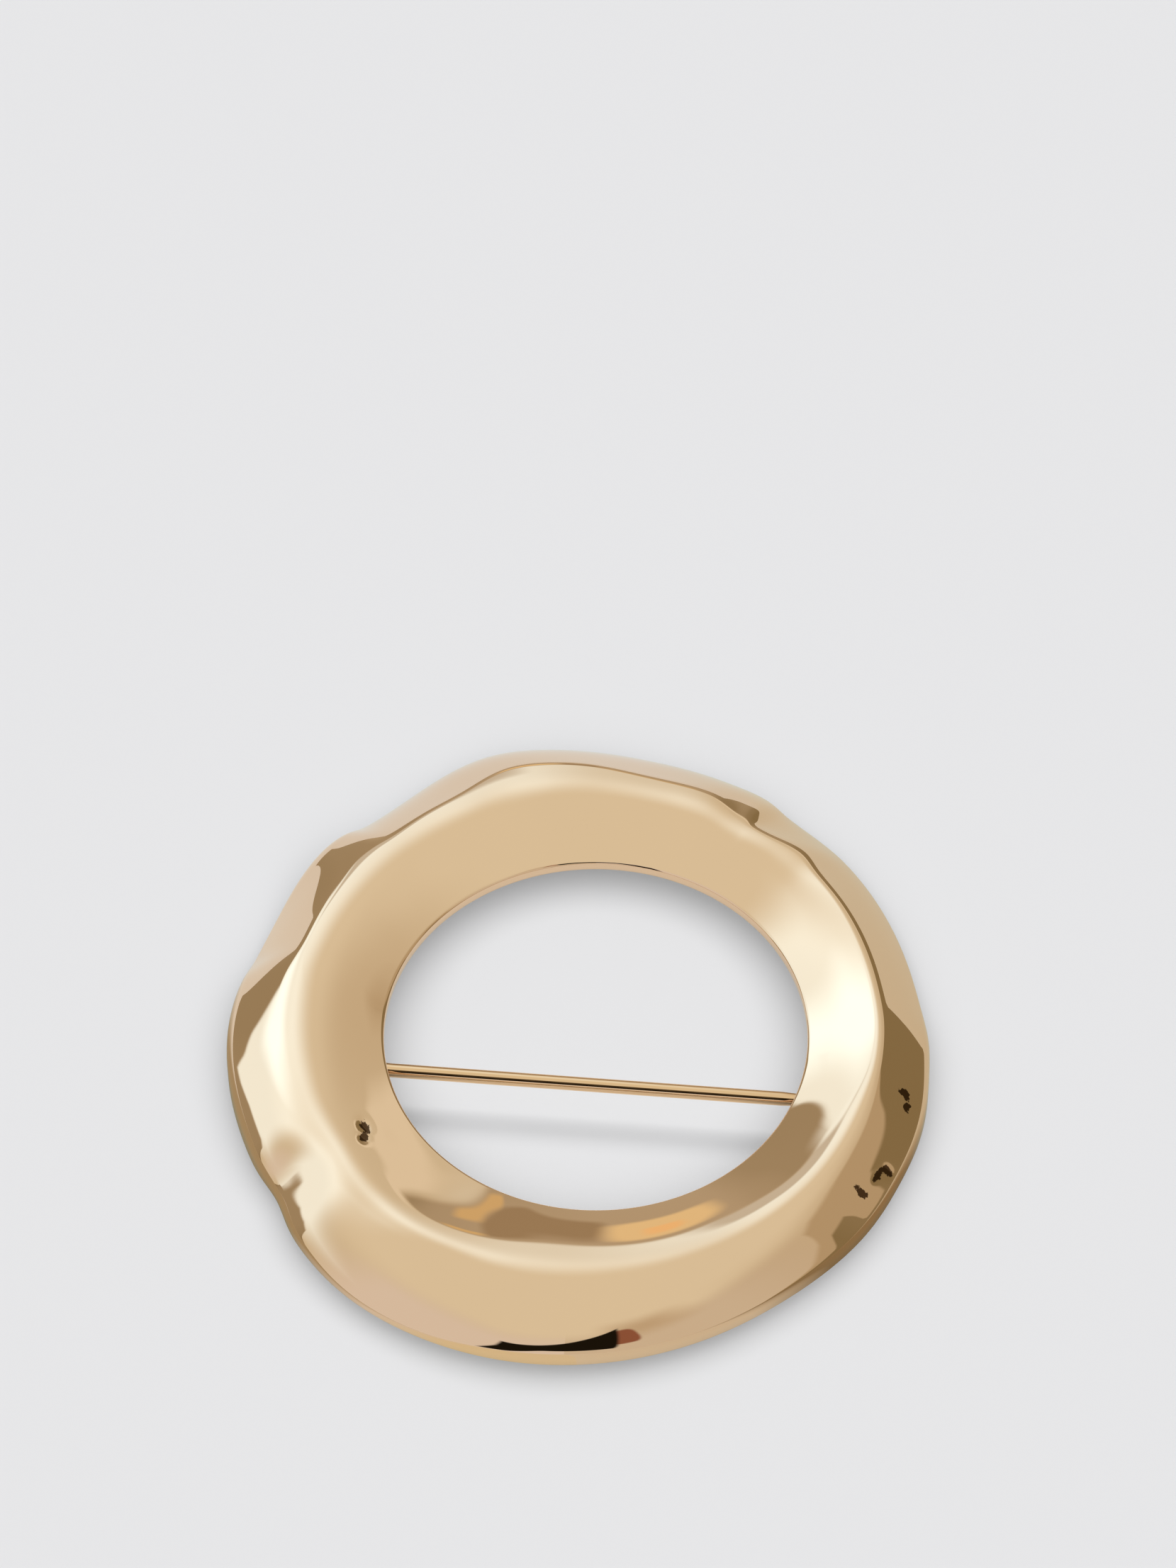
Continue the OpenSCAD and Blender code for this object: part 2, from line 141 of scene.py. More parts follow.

# Headings are 0 behind the ring, 90 on the left, 180 on the camera's side and -90 on the right.
# Heights are angles above the floor. Both are in degrees.

# Painted reflection: the colour that the paper takes for the metal's mirrored rays alone, dark at some
# headings.
PAPER_REFLECTION_ROUND = [
    # heading, red, green, blue
    (-180, 0.68, 0.67, 0.56),
    (-150, 0.64, 0.62, 0.52),
    (-135, 0.26, 0.21, 0.12),
    (-112, 0.29, 0.22, 0.12),
    (-95, 0.6, 0.58, 0.46),
    (-50, 0.63, 0.62, 0.51),
    (-30, 0.66, 0.66, 0.56),
    (-10, 0.72, 0.75, 0.74),
    (70, 0.75, 0.79, 0.77),
    (84, 0.4, 0.35, 0.23),
    (125, 0.38, 0.33, 0.21),
    (145, 0.7, 0.69, 0.62),
    (160, 0.72, 0.68, 0.48),
    (180, 0.7, 0.67, 0.5),
]

# The studio's walls: how high the dark and the brown parts reach, and how pale the dark part is.
WALLS = [
    # heading, dark height, brown height, paleness
    (-180, 0, 0, 0.0),
    (-128, 0, 0, 0.0),
    (-108, 16, 30, 0.0),
    (-104, 27, 46, 0.0),
    (-97, 28, 50, 0.1),
    (-94, 12, 50, 0.1),
    (-86, 12, 50, 0.1),
    (-83, 23, 50, 0.0),
    (-70, 28, 47, 0.0),
    (-60, 36, 47, 0.0),
    (-50, 41, 43, 0.0),
    (-43, 33, 33, 0.0),
    (-37, 29.5, 29.5, 0.0),
    (-20, 29, 29, 0.2),
    (-12, 28, 28, 0.8),
    (0, 29, 29, 1.0),
    (12, 30, 30, 1.0),
    (18, 31, 31, 0.55),
    (26, 30, 30, 0.5),
    (30, 23, 23, 0.5),
    (33, 27, 27, 0.45),
    (38, 34, 34, 0.4),
    (44, 28, 28, 0.4),
    (50, 22, 22, 0.4),
    (57, 18, 18, 0.45),
    (62, 10, 10, 0.5),
    (66, 12, 12, 0.5),
    (72, 18, 18, 0.5),
    (86, 23, 23, 0.5),
    (93, 22, 22, 0.4),
    (98, 0, 0, 0.0),
    (180, 0, 0, 0.0),
]

# Pale patches of the dome behind the walls. soft: the share of a patch that fades.
PATCHES = [
    # heading, height, half width, half height, soft, colour
    (15, 36, 10, 9, 0.4, (0.66, 0.69, 0.64, 1)),
    (-150, 56, 22, 14, 0.95, (0.6, 0.54, 0.4, 1)),
    (-24, 32.5, 14, 3, 0.6, (0.84, 0.84, 0.71, 1)),
]

# Lamps and small dark things in front of the walls.
LAMPS = [
    # heading, height, half width, half height, soft, colour
    (-2, 20, 3.5, 8, 0.5, (0.38, 0.31, 0.2, 1)),
    (-6.5, 25.5, 3, 3, 0.6, (0.72, 0.57, 0.3, 1)),
    (6, 21.5, 6.5, 6, 0.4, (0.88, 0.75, 0.45, 1)),
    (6, 23, 2.5, 2, 0.6, (0.98, 0.7, 0.36, 1)),
    (-159, 50, 5.5, 9, 0.25, (0.3, 0.13, 0.08, 1)),
]

# Colours of the studio as the metal mirrors it.
NEAR_LEFT = (0.79, 0.79, 0.76, 1)
NEAR_RIGHT = (0.69, 0.67, 0.57, 1)
HAZE = (0.58, 0.52, 0.37, 1)
SOFTBOX = (0.36, 0.62, 0.88, 1)
BACK_WALLS = (0.52, 0.455, 0.31, 1)
PALE_WALLS = (0.52, 0.47, 0.35, 1)
BLACK_FLAG = (0.012, 0.01, 0.006, 1)
PAPER = (0.79, 0.79, 0.79, 1)
# Painted reflection of the paper in the hole, warmer and dimmer than the floor.
PAPER_REFLECTION_IN_HOLE = (0.72, 0.71, 0.64, 1)
# What the metal throws back on the floor, plain so that the shadows stay neutral.
BOUNCE = (0.35, 0.35, 0.35, 1)
# Painted dark reflection inside a nick, and a thin dark line painted on the wire, a painted reflection
# of the camera.
NICK_PAINTED_REFLECTION = (0.1, 0.055, 0.03, 1)
CAMERA_PAINTED_REFLECTION = (0.09, 0.05, 0.02, 1)

# The photograph: its size in pixels, the pixel of the hole's centre on the floor, and its scale there.
PHOTO_WIDE, PHOTO_HIGH = 1659, 2212
HOLE_X, HOLE_Y = 835.0, 1502.0
PIXELS_PER_MM = 18.1

# Half the floor's side, in metres.
FLOOR_HALF = 3.0

# How far a face's control points reach along it, and the least width of its rounded shoulder.
CURVE_REACH = 0.36
SHOULDER_MIN = 0.02

# Corners and edge roundings of the fittings, and how deep the stem's root enters its eye, in metres.
FOOT_CORNER = 0.4 * MM
FOOT_ROUNDING = 0.08 * MM
PLATE_ROUNDING = 0.06 * MM
EYE_ROUNDING = 0.12 * MM
ROOT_BITE = 0.29 * MM
EYE_STEPS = 64
ROD_SIDES = 48

# Scales of the finish's textures: colour drift, the ragged edges of the nicks' painted dark reflection,
# hairlines, and the cast skin's two.
DRIFT_SCALE, NICK_REFLECTION_SCALE, HAIR_SCALE, GRAIN_SCALE, PORE_SCALE = 140.0, 2400.0, 2600.0, 3800.0, 900.0


def unit(v):
    return v / np.linalg.norm(v, axis=-1, keepdims=True)


def quadratic(a, b, c, t):
    """Places at t on a curve from a to c that leaves and arrives in the direction of b."""
    return (1 - t) ** 2 * a + 2 * t * (1 - t) * b + t**2 * c


def spline_rows(places):
    """Rows of the fold table at places along it, between the folds too, on a closed cubic spline."""
    rows = np.array(FOLDS, float)
    n = len(rows)
    turn = np.zeros(rows.shape[1])
    turn[ANGLE] = 360.0

    def fold(i):
        return rows[i % n] + np.floor_divide(i, n)[:, None] * turn

    i = np.arange(-1, n + 2)
    sharp = fold(i) - (fold(i - 1) - 2 * fold(i) + fold(i + 1)) / 6
    k = np.floor(places).astype(int)
    t = (places - k)[:, None]
    return (
        (1 - t) ** 3 * sharp[k]
        + (3 * t**3 - 6 * t**2 + 4) * sharp[k + 1]
        + (-3 * t**3 + 3 * t**2 + 3 * t + 1) * sharp[k + 2]
        + t**3 * sharp[k + 3]
    ) / 6


def heading(tilt):
    t = np.radians(tilt)
    return np.stack([np.cos(t), np.sin(t)], -1)


def curve_from(a, b, dir_a, dir_b):
    """Four control points of a face that leaves a and reaches b at the given slopes."""
    reach = np.linalg.norm(b - a, axis=-1, keepdims=True) * CURVE_REACH
    return np.stack([a, a + reach * dir_a, b - reach * dir_b, b], -2)


def on_curve(c, t):
    t = t[:, None]
    return (
        (1 - t) ** 3 * c[:, 0] + 3 * t * (1 - t) ** 2 * c[:, 1]
        + 3 * t**2 * (1 - t) * c[:, 2] + t**3 * c[:, 3]
    )


def along_curve(c, t):
    return unit(quadratic(c[:, 1] - c[:, 0], c[:, 2] - c[:, 1], c[:, 3] - c[:, 2], t[:, None]))


def smooth(x):
    x = np.clip(x, 0.0, 1.0)
    return x * x * (3 - 2 * x)


class Band:
    """The ring's cross-sections, in millimetres about the hole's centre."""

    def __init__(self, ring, loops):
        self.s = ring
        self.rows = spline_rows(np.arange(loops) * len(FOLDS) / loops)
        self.angle = self.rows[:, ANGLE]
        turn = np.radians(self.angle)
        self.out = np.stack([np.cos(turn), np.sin(turn)], -1)
        self.hole_r = (
            ring.hole_radius + ring.hole_stretch * np.cos(2 * turn)
            + ring.hole_shift * (np.cos(turn) + np.sin(turn))
        ) / MM
        self.hole_z = ring.hole_height / MM
        side = self.rows[:, RIM_Z] - self.foot_z(self.rows[:, RIM_R])
        self.rounding = ring.edge_soft * side

    def foot_z(self, r):
        """Height of the leaning foot's plane at radii, one or more for each section."""
        sine = self.out[:, 1].reshape((-1,) + (1,) * (np.ndim(r) - 1))
        return (self.s.far_reach / MM - r * sine) * math.tan(self.s.lean)

    def section(self, extra, steps):
        """Places and directions across the band, from the hole's edge to the outer edge."""
        f = self.rows
        hole = np.stack([self.hole_r, np.full(len(f), self.hole_z)], -1)
        crest, rim = f[:, CREST_R:CREST_Z + 1], f[:, RIM_R:RIM_Z + 1]
        inner = curve_from(hole, crest, heading(f[:, IN_TILT]), heading(f[:, TOP_TILT]))
        outer = curve_from(crest, rim, heading(f[:, FALL_TILT]), heading(f[:, RIM_TILT]))
        soft = f[:, SOFT] + extra
        t_in = 1 - soft / np.linalg.norm(crest - hole, axis=1)
        t_out = soft / np.linalg.norm(rim - crest, axis=1)
        t_edge = 1 - self.rounding / np.linalg.norm(rim - crest, axis=1)
        bend = curve_from(
            on_curve(inner, t_in), on_curve(outer, t_out),
            along_curve(inner, t_in), along_curve(outer, t_out),
        )
        faces, across = steps
        stops = [(inner, t_in * i / faces) for i in range(faces + 1)]
        stops += [(bend, np.full(len(f), i / across)) for i in range(1, across)]
        stops += [(outer, t_out + (t_edge - t_out) * i / faces) for i in range(faces + 1)]
        return (
            np.stack([on_curve(c, t) for c, t in stops], 1),
            np.stack([along_curve(c, t) for c, t in stops], 1),
        )

    def dented(self, dents, r):
        """Depth of the dents in a table at radii, one or more for each section."""
        down = np.zeros_like(r)
        for angle, radius, along, across, deep in dents:
            turn = (self.angle[:, None] - angle + 540) % 360 - 180
            down += deep * np.exp(
                -((np.radians(turn) * r / along) ** 2 + ((r - radius) / across) ** 2) / 2
            )
        return down

    def sunk(self, places, ways, depth):
        """Places sunk by a depth and by the dents, and those of the upper surface by its nicks too."""
        down = depth + self.dented(DENTS + (NICKS if depth == 0 else []), places[..., 0])
        return places + down[..., None] * np.stack([ways[..., 1], -ways[..., 0]], -1)

    def edge(self, start, way, steps):
        """The rounded shoulder from the outer face to the upright side, and the side's foot."""
        rim = self.sunk(self.rows[:, None, RIM_R:RIM_Z + 1], way[:, None], 0.0)[:, 0]
        r = np.maximum(rim[:, 0], start[:, 0] + SHOULDER_MIN)
        corner = start + way * ((r - start[:, 0]) / way[:, 0])[:, None]
        end = corner - np.stack([np.zeros(len(r)), self.rounding], -1)
        t = (np.arange(1, steps + 1) / steps)[None, :, None]
        shoulder = quadratic(start[:, None], corner[:, None], end[:, None], t)
        return shoulder, np.stack([r, self.foot_z(r)], -1)

    def turned(self, places):
        """Section places turned to their angles, as x, y, z."""
        flat = places[..., :1] * self.out[:, None]
        return np.concatenate([flat, places[..., 1:]], -1)


def ring_middle(ring, loops=120):
    """Middle of the ring's box on the floor, seen from the hole's centre, as the frame has it."""
    band = Band(ring, loops)
    face, ways = band.section(0.0, (9, 5))
    face = band.sunk(face, ways, 0.0)
    foot = band.edge(face[:, -1], ways[:, -1], 3)[1]
    rim = band.turned(foot[:, None])
    lo, hi = rim.min((0, 1)), rim.max((0, 1))
    return np.array([(lo[0] + hi[0]) / 2, (lo[1] + hi[1]) / 2, lo[2]])


def corner(at, back, ahead, radius, steps):
    """A rounded corner: back and ahead are the directions to its two neighbours."""
    t = np.linspace(0, 1, steps + 1)[None, :, None]
    at = at[:, None]
    return quadratic(at + radius * back[:, None], at, at + radius * ahead[:, None], t)


def ring_grid(ring, pin, loops=760, top=(25, 14), under=(12, 10), edge=3, shoulder=8):
    """Points of the whole closed ring, and how cast, how hand worked and how much painted dark nick
    reflection each of them gets.
    """
    band = Band(ring, loops)
    face, ways = band.section(0.0, top)
    face = band.sunk(face, ways, 0.0)
    inside, in_ways = band.section(ring.under_soft / MM, under)
    inside = band.sunk(inside, in_ways, ring.wall / MM)
    up = np.tile([0.0, 1.0], (loops, 1))
    out = np.tile([1.0, 0.0], (loops, 1))
    rounded, foot = band.edge(face[:, -1], ways[:, -1], shoulder)
    foot_in = foot - out * ring.foot_width / MM
    inside[..., 0] = np.minimum(inside[..., 0], foot_in[:, None, 0])
    inside[..., 1] = np.maximum(inside[..., 1], band.foot_z(inside[..., 0]))
    sill = np.stack([band.hole_r, np.full(loops, band.hole_z - ring.edge_height / MM)], -1)
    r = ring.edge_round / MM
    parts = [
        (corner(sill, unit(inside[:, 0] - sill), up, r, edge), 0.0, 0.0),
        (corner(face[:, 0], -up, ways[:, 0], r, edge), 0.0, 0.0),
        (face[:, 1:], 0.0, None),
        (rounded, 0.0, 0.0),
        (corner(foot, up, -out, r, edge), 0.0, 0.0),
        (corner(foot_in, out, unit(inside[:, -2] - foot_in), r / 2, edge), 0.0, 0.0),
        (inside[:, -2::-1], 1.0, 0.0),
    ]
    places = np.concatenate([p for p, _, _ in parts], 1)
    points = band.turned(places)
    cast = np.concatenate([np.full((loops, p.shape[1]), c) for p, c, _ in parts], 1)
    # the hand work fades in over 9 loops from the hole, and out over 6 towards the outer edge
    n = face.shape[1] - 1
    fade = smooth(np.arange(1, n + 1) / 9) * smooth(np.arange(n, 0, -1) / 6)
    hand = np.concatenate(
        [np.tile(fade if h is None else np.full(p.shape[1], h), (loops, 1)) for p, _, h in parts], 1
    )
    # where the nicks' insides get their painted dark reflection, on the upper surface only
    nick = band.dented([(*row[:4], 1.0) for row in NICKS], places[..., 0]) * (1 - cast)
    # the flat lands that the hinge's foot and the catch are soldered to fade into the shell
    margin, fading = 0.1, 1.1
    along, across = pin_ways(pin)
    for place, height, length, width in lands(pin):
        v = points[..., :2] - place
        off = np.maximum(abs(v @ along) - length / 2, abs(v @ across) - width / 2) - margin
        w = np.where(cast > 0.5, 1 - smooth(np.maximum(off, 0.0) / fading), 0.0)
        points[..., 2] = points[..., 2] * (1 - w) + height * w
    return (points - ring_middle(ring)) * MM, cast, hand, nick


def pin_ways(pin):
    """Directions along the stem, and square to it towards the stem's own side of the hole."""
    cosine, sine = math.cos(pin.turn), math.sin(pin.turn)
    return np.array([cosine, sine]), np.array([sine, -cosine])


def hinge_and_catch(pin):
    """Places of the hinge axis and of the catch's middle, in millimetres about the hole's centre."""
    along, across = pin_ways(pin)
    middle = pin.offset / MM * across
    return middle - pin.hinge_reach / MM * along, middle + pin.catch_reach / MM * along


def lands(pin):
    """Middle, height, length and width of the two flat lands under the shell, in millimetres."""
    hinge, catch = hinge_and_catch(pin)
    return [
        (hinge, pin.bracket_top / MM, pin.foot_length / MM, bracket_width(pin) / MM),
        (catch, pin.catch_top / MM, pin.catch_width / MM, catch_length(pin) / MM),
    ]


def bracket_width(pin):
    return pin.eye_width + 2 * pin.run_gap + 2 * pin.ear_thickness


def slot_width(pin):
    """Width of the catch's slot: the stem where it enters the catch, and the clearance."""
    taper = pin.catch_reach + pin.tip_beyond - pin.span / 2
    share_left = (pin.tip_beyond + pin.catch_width / 2) / taper
    at_catch = pin.tip_diameter + (pin.diameter - pin.tip_diameter) * share_left
    return at_catch + 2 * pin.catch_gap


def catch_length(pin):
    return slot_width(pin) + 2 * pin.prong_thickness


def on_stem(ring, pin, place):
    """Matrix to the part's frame from one at a place on the stem, with its X along the stem."""
    middle = ring_middle(ring)
    x, y = (place - middle[:2]) * MM
    return Matrix.Translation((x, y, pin.height - middle[2] * MM)) @ Matrix.Rotation(pin.turn, 4, "Z")


# ---- meshes ----


def linked(name, data):
    """A new object in the scene."""
    obj = bpy.data.objects.new(name, data)
    bpy.context.scene.collection.objects.link(obj)
    return obj


def closed_grid(name, points, attributes=()):
    """A mesh object from a grid of points that closes on itself both ways."""
    n, m = points.shape[:2]
    i, j = np.meshgrid(np.arange(n), np.arange(m), indexing="ij")

    def at(a, b):
        return (a % n) * m + b % m

    quads = np.stack([at(i, j), at(i, j + 1), at(i + 1, j + 1), at(i + 1, j)], -1).reshape(-1, 4)
    flat = points.reshape(-1, 3)
    a, b, c = (flat[quads[:, k]] for k in (0, 1, 2))
    if np.einsum("ij,ij->i", a, np.cross(b, c)).sum() < 0:
        quads = quads[:, ::-1]
    mesh = bpy.data.meshes.new(name)
    mesh.from_pydata([tuple(p) for p in flat], [], [tuple(q) for q in quads])
    for key, values in attributes:
        mesh.attributes.new(key, "FLOAT", "POINT").data.foreach_set("value", values.ravel())
    mesh.validate()
    return linked(name, mesh)


def rested(obj, name, matrix=None):
    """The evaluated object as a plain mesh object at the origin; the first object goes."""
    bpy.context.view_layer.update()
    seen = obj.evaluated_get(bpy.context.evaluated_depsgraph_get())
    mesh = bpy.data.meshes.new_from_object(seen)
    mesh.name = name
    if matrix is not None:
        mesh.transform(matrix)
    old = obj.data
    bpy.data.objects.remove(obj)
    if old.users == 0:
        (bpy.data.curves if isinstance(old, bpy.types.Curve) else bpy.data.meshes).remove(old)
    return linked(name, mesh)


def joined(name, pieces):
    """One mesh object of several."""
    bm = bmesh.new()
    for p in pieces:
        bm.from_mesh(p.data)
    mesh = bpy.data.meshes.new(name)
    bm.to_mesh(mesh)
    bm.free()
    for p in pieces:
        old = p.data
        bpy.data.objects.remove(p)
        bpy.data.meshes.remove(old)
    return linked(name, mesh)


def outward(obj, doubles):
    """Merges the doubles and points the faces outwards."""
    bm = bmesh.new()
    bm.from_mesh(obj.data)
    bmesh.ops.remove_doubles(bm, verts=bm.verts, dist=doubles)
    bmesh.ops.recalc_face_normals(bm, faces=bm.faces)
    bm.to_mesh(obj.data)
    bm.free()


def plate(name, outlines, thickness, rounding, matrix):
    """A plate with rounded edges. The first outline in X and Y is its edge, the rest are its holes."""
    curve = bpy.data.curves.new(name, "CURVE")
    curve.dimensions = "2D"
    curve.fill_mode = "BOTH"
    for outline in outlines:
        spline = curve.splines.new("POLY")
        spline.points.add(len(outline) - 1)
        for point, (x, y) in zip(spline.points, outline):
            point.co = (x, y, 0, 1)
        spline.use_cyclic_u = True
    curve.extrude = thickness / 2 - rounding
    curve.bevel_depth = rounding
    curve.bevel_resolution = 3
    curve.offset = -rounding
    piece = rested(linked(name, curve), name, matrix)
    outward(piece, 2e-6)
    return piece


def arc(x, y, radius, start, end, steps):
    return [
        (x + radius * math.cos(a), y + radius * math.sin(a))
        for a in (math.radians(start + (end - start) * k / steps) for k in range(steps + 1))
    ]


def rounded_box(half, low, high, r, steps):
    """Outline from -half to half in X and from low to high in Y, with rounded corners."""
    middles = [(half - r, high - r), (r - half, high - r), (r - half, low + r), (half - r, low + r)]
    return [
        point for k, (x, y) in enumerate(middles) for point in arc(x, y, r, 90 * k, 90 * k + 90, steps)
    ]


def softened(obj):
    """Smooth faces, with the edges over 40 degrees kept sharp."""
    obj.data.shade_smooth()
    obj.data.set_sharp_from_angle(angle=math.radians(40))


# ---- node trees ----


class Nodes:
    """Adds nodes to a tree and links them."""

    def __init__(self, tree):
        self.tree = tree

    def add(self, kind, inputs=None, **settings):
        node = self.tree.nodes.new(kind)
        for key, value in settings.items():
            setattr(node, key, value)
        for key, value in (inputs or {}).items():
            self.feed(node.inputs[key], value)
        return node

    def feed(self, socket, value):
        if isinstance(value, bpy.types.NodeSocket):
            self.tree.links.new(value, socket)
        else:
            socket.default_value = value

    def math(self, operation, *values):
        node = self.add("ShaderNodeMath", operation=operation)
        for socket, value in zip(node.inputs, values):
            self.feed(socket, value)
        return node.outputs[0]

    def both(self, first, second):
        return self.math("MULTIPLY", first, second)

    def step(self, value, low, high):
        """0 below low and 1 above high, smooth between. Falls where low is above high."""
        falls = low > high
        inputs = {
            "Value": value, "From Min": min(low, high), "From Max": max(low, high),
            "To Min": 1.0 if falls else 0.0, "To Max": 0.0 if falls else 1.0,
        }
        return self.add("ShaderNodeMapRange", inputs, interpolation_type="SMOOTHSTEP").outputs[0]

    def mix(self, amount, a, b, blend="MIX"):
        inputs = {0: amount, 6: a, 7: b}
        return self.add("ShaderNodeMix", inputs, data_type="RGBA", blend_type=blend).outputs[2]

    def vector(self, operation, inputs):
        return self.add("ShaderNodeVectorMath", inputs, operation=operation).outputs[0]

    def noise(self, place, scale, detail, **inputs):
        inputs = {"Vector": place, "Scale": scale, "Detail": detail, **inputs}
        return self.add("ShaderNodeTexNoise", inputs).outputs[0]


def modifier_inputs(obj, tree, values):
    """A Geometry Nodes modifier on obj, its inputs set by their sockets' identifiers."""
    modifier = obj.modifiers.new(tree.name, "NODES")
    modifier.node_group = tree
    for item in tree.interface.items_tree:
        if item.item_type == "SOCKET" and item.in_out == "INPUT" and item.name in values:
            modifier[item.identifier] = values[item.name]


def geometry_tree(name, sockets):
    tree = bpy.data.node_groups.new(name, "GeometryNodeTree")
    tree.interface.new_socket("Geometry", in_out="INPUT", socket_type="NodeSocketGeometry")
    for label, kind, default in sockets:
        item = tree.interface.new_socket(label, in_out="INPUT", socket_type=kind)
        if default is not None:
            item.default_value = default
    tree.interface.new_socket("Geometry", in_out="OUTPUT", socket_type="NodeSocketGeometry")
    return tree, Nodes(tree), tree.nodes.new("NodeGroupInput"), tree.nodes.new("NodeGroupOutput")


def finish_tree(nodes, source, material, out):
    """The end of every geometry tree: smooth faces, the material, and real geometry."""
    smooth_faces = nodes.add("GeometryNodeSetShadeSmooth", {"Geometry": source}).outputs[0]
    painted = nodes.add("GeometryNodeSetMaterial", {"Geometry": smooth_faces, "Material": material})
    real = nodes.add("GeometryNodeRealizeInstances", {"Geometry": painted.outputs[0]})
    nodes.tree.links.new(real.outputs[0], out.inputs[0])


def hand_work_tree():
    """Moves a surface in and out along its normal, slowly varying, where its hand attribute says so."""
    tree, nodes, given, out = geometry_tree(
        "Hand work",
        [
            ("Depth", "NodeSocketFloat", 0.00001),
            ("Patch Size", "NodeSocketFloat", 0.006),
            ("Seed", "NodeSocketFloat", 4.0),
            ("Material", "NodeSocketMaterial", None),
        ],
    )
    place = nodes.add("GeometryNodeInputPosition").outputs[0]
    scale = nodes.math("DIVIDE", 1.0, given.outputs["Patch Size"])
    noise = nodes.add(
        "ShaderNodeTexNoise",
        {"Vector": place, "W": given.outputs["Seed"], "Scale": scale, "Detail": 1.0, "Roughness": 0.4},
        noise_dimensions="4D",
    )
    hand = nodes.add("GeometryNodeInputNamedAttribute", {"Name": "hand"}, data_type="FLOAT").outputs[0]
    swing = nodes.math("MULTIPLY", nodes.math("SUBTRACT", noise.outputs[0], 0.5), 2.0)
    amount = nodes.both(nodes.both(swing, hand), given.outputs["Depth"])
    normal = nodes.add("GeometryNodeInputNormal").outputs[0]
    push = nodes.vector("SCALE", {0: normal, "Scale": amount})
    moved = nodes.add("GeometryNodeSetPosition", {"Geometry": given.outputs[0], "Offset": push})
    finish_tree(nodes, moved.outputs[0], given.outputs["Material"], out)
    return tree


def turned_rod_tree():
    """Turns a rod round a line of points, each with its own radius attribute."""
    tree, nodes, given, out = geometry_tree(
        "Turned rod",
        [("Sides", "NodeSocketInt", ROD_SIDES), ("Material", "NodeSocketMaterial", None)],
    )
    line = nodes.add("GeometryNodeMeshToCurve", {"Mesh": given.outputs[0]}).outputs[0]
    sides = {"Resolution": given.outputs["Sides"], "Radius": 1.0}
    circle = nodes.add("GeometryNodeCurvePrimitiveCircle", sides).outputs[0]
    radius = nodes.add("GeometryNodeInputNamedAttribute", {"Name": "radius"}, data_type="FLOAT")
    solid = nodes.add(
        "GeometryNodeCurveToMesh",
        {"Curve": line, "Profile Curve": circle, "Fill Caps": True, "Scale": radius.outputs[0]},
    )
    finish_tree(nodes, solid.outputs[0], given.outputs["Material"], out)
    return tree


def rod(name, profile, material, matrix):
    """A turned rod along its own X from a profile of (place, radius) in metres."""
    points = [(x, 0.0, 0.0) for x, _ in profile]
    mesh = bpy.data.meshes.new(name)
    mesh.from_pydata(points, [(k, k + 1) for k in range(len(points) - 1)], [])
    mesh.attributes.new("radius", "FLOAT", "POINT").data.foreach_set("value", [r for _, r in profile])
    obj = linked(name, mesh)
    tree = bpy.data.node_groups.get("Turned rod") or turned_rod_tree()
    modifier_inputs(obj, tree, {"Sides": ROD_SIDES, "Material": material})
    piece = rested(obj, name, matrix)
    outward(piece, 1e-7)
    return piece


# ---- finishes ----


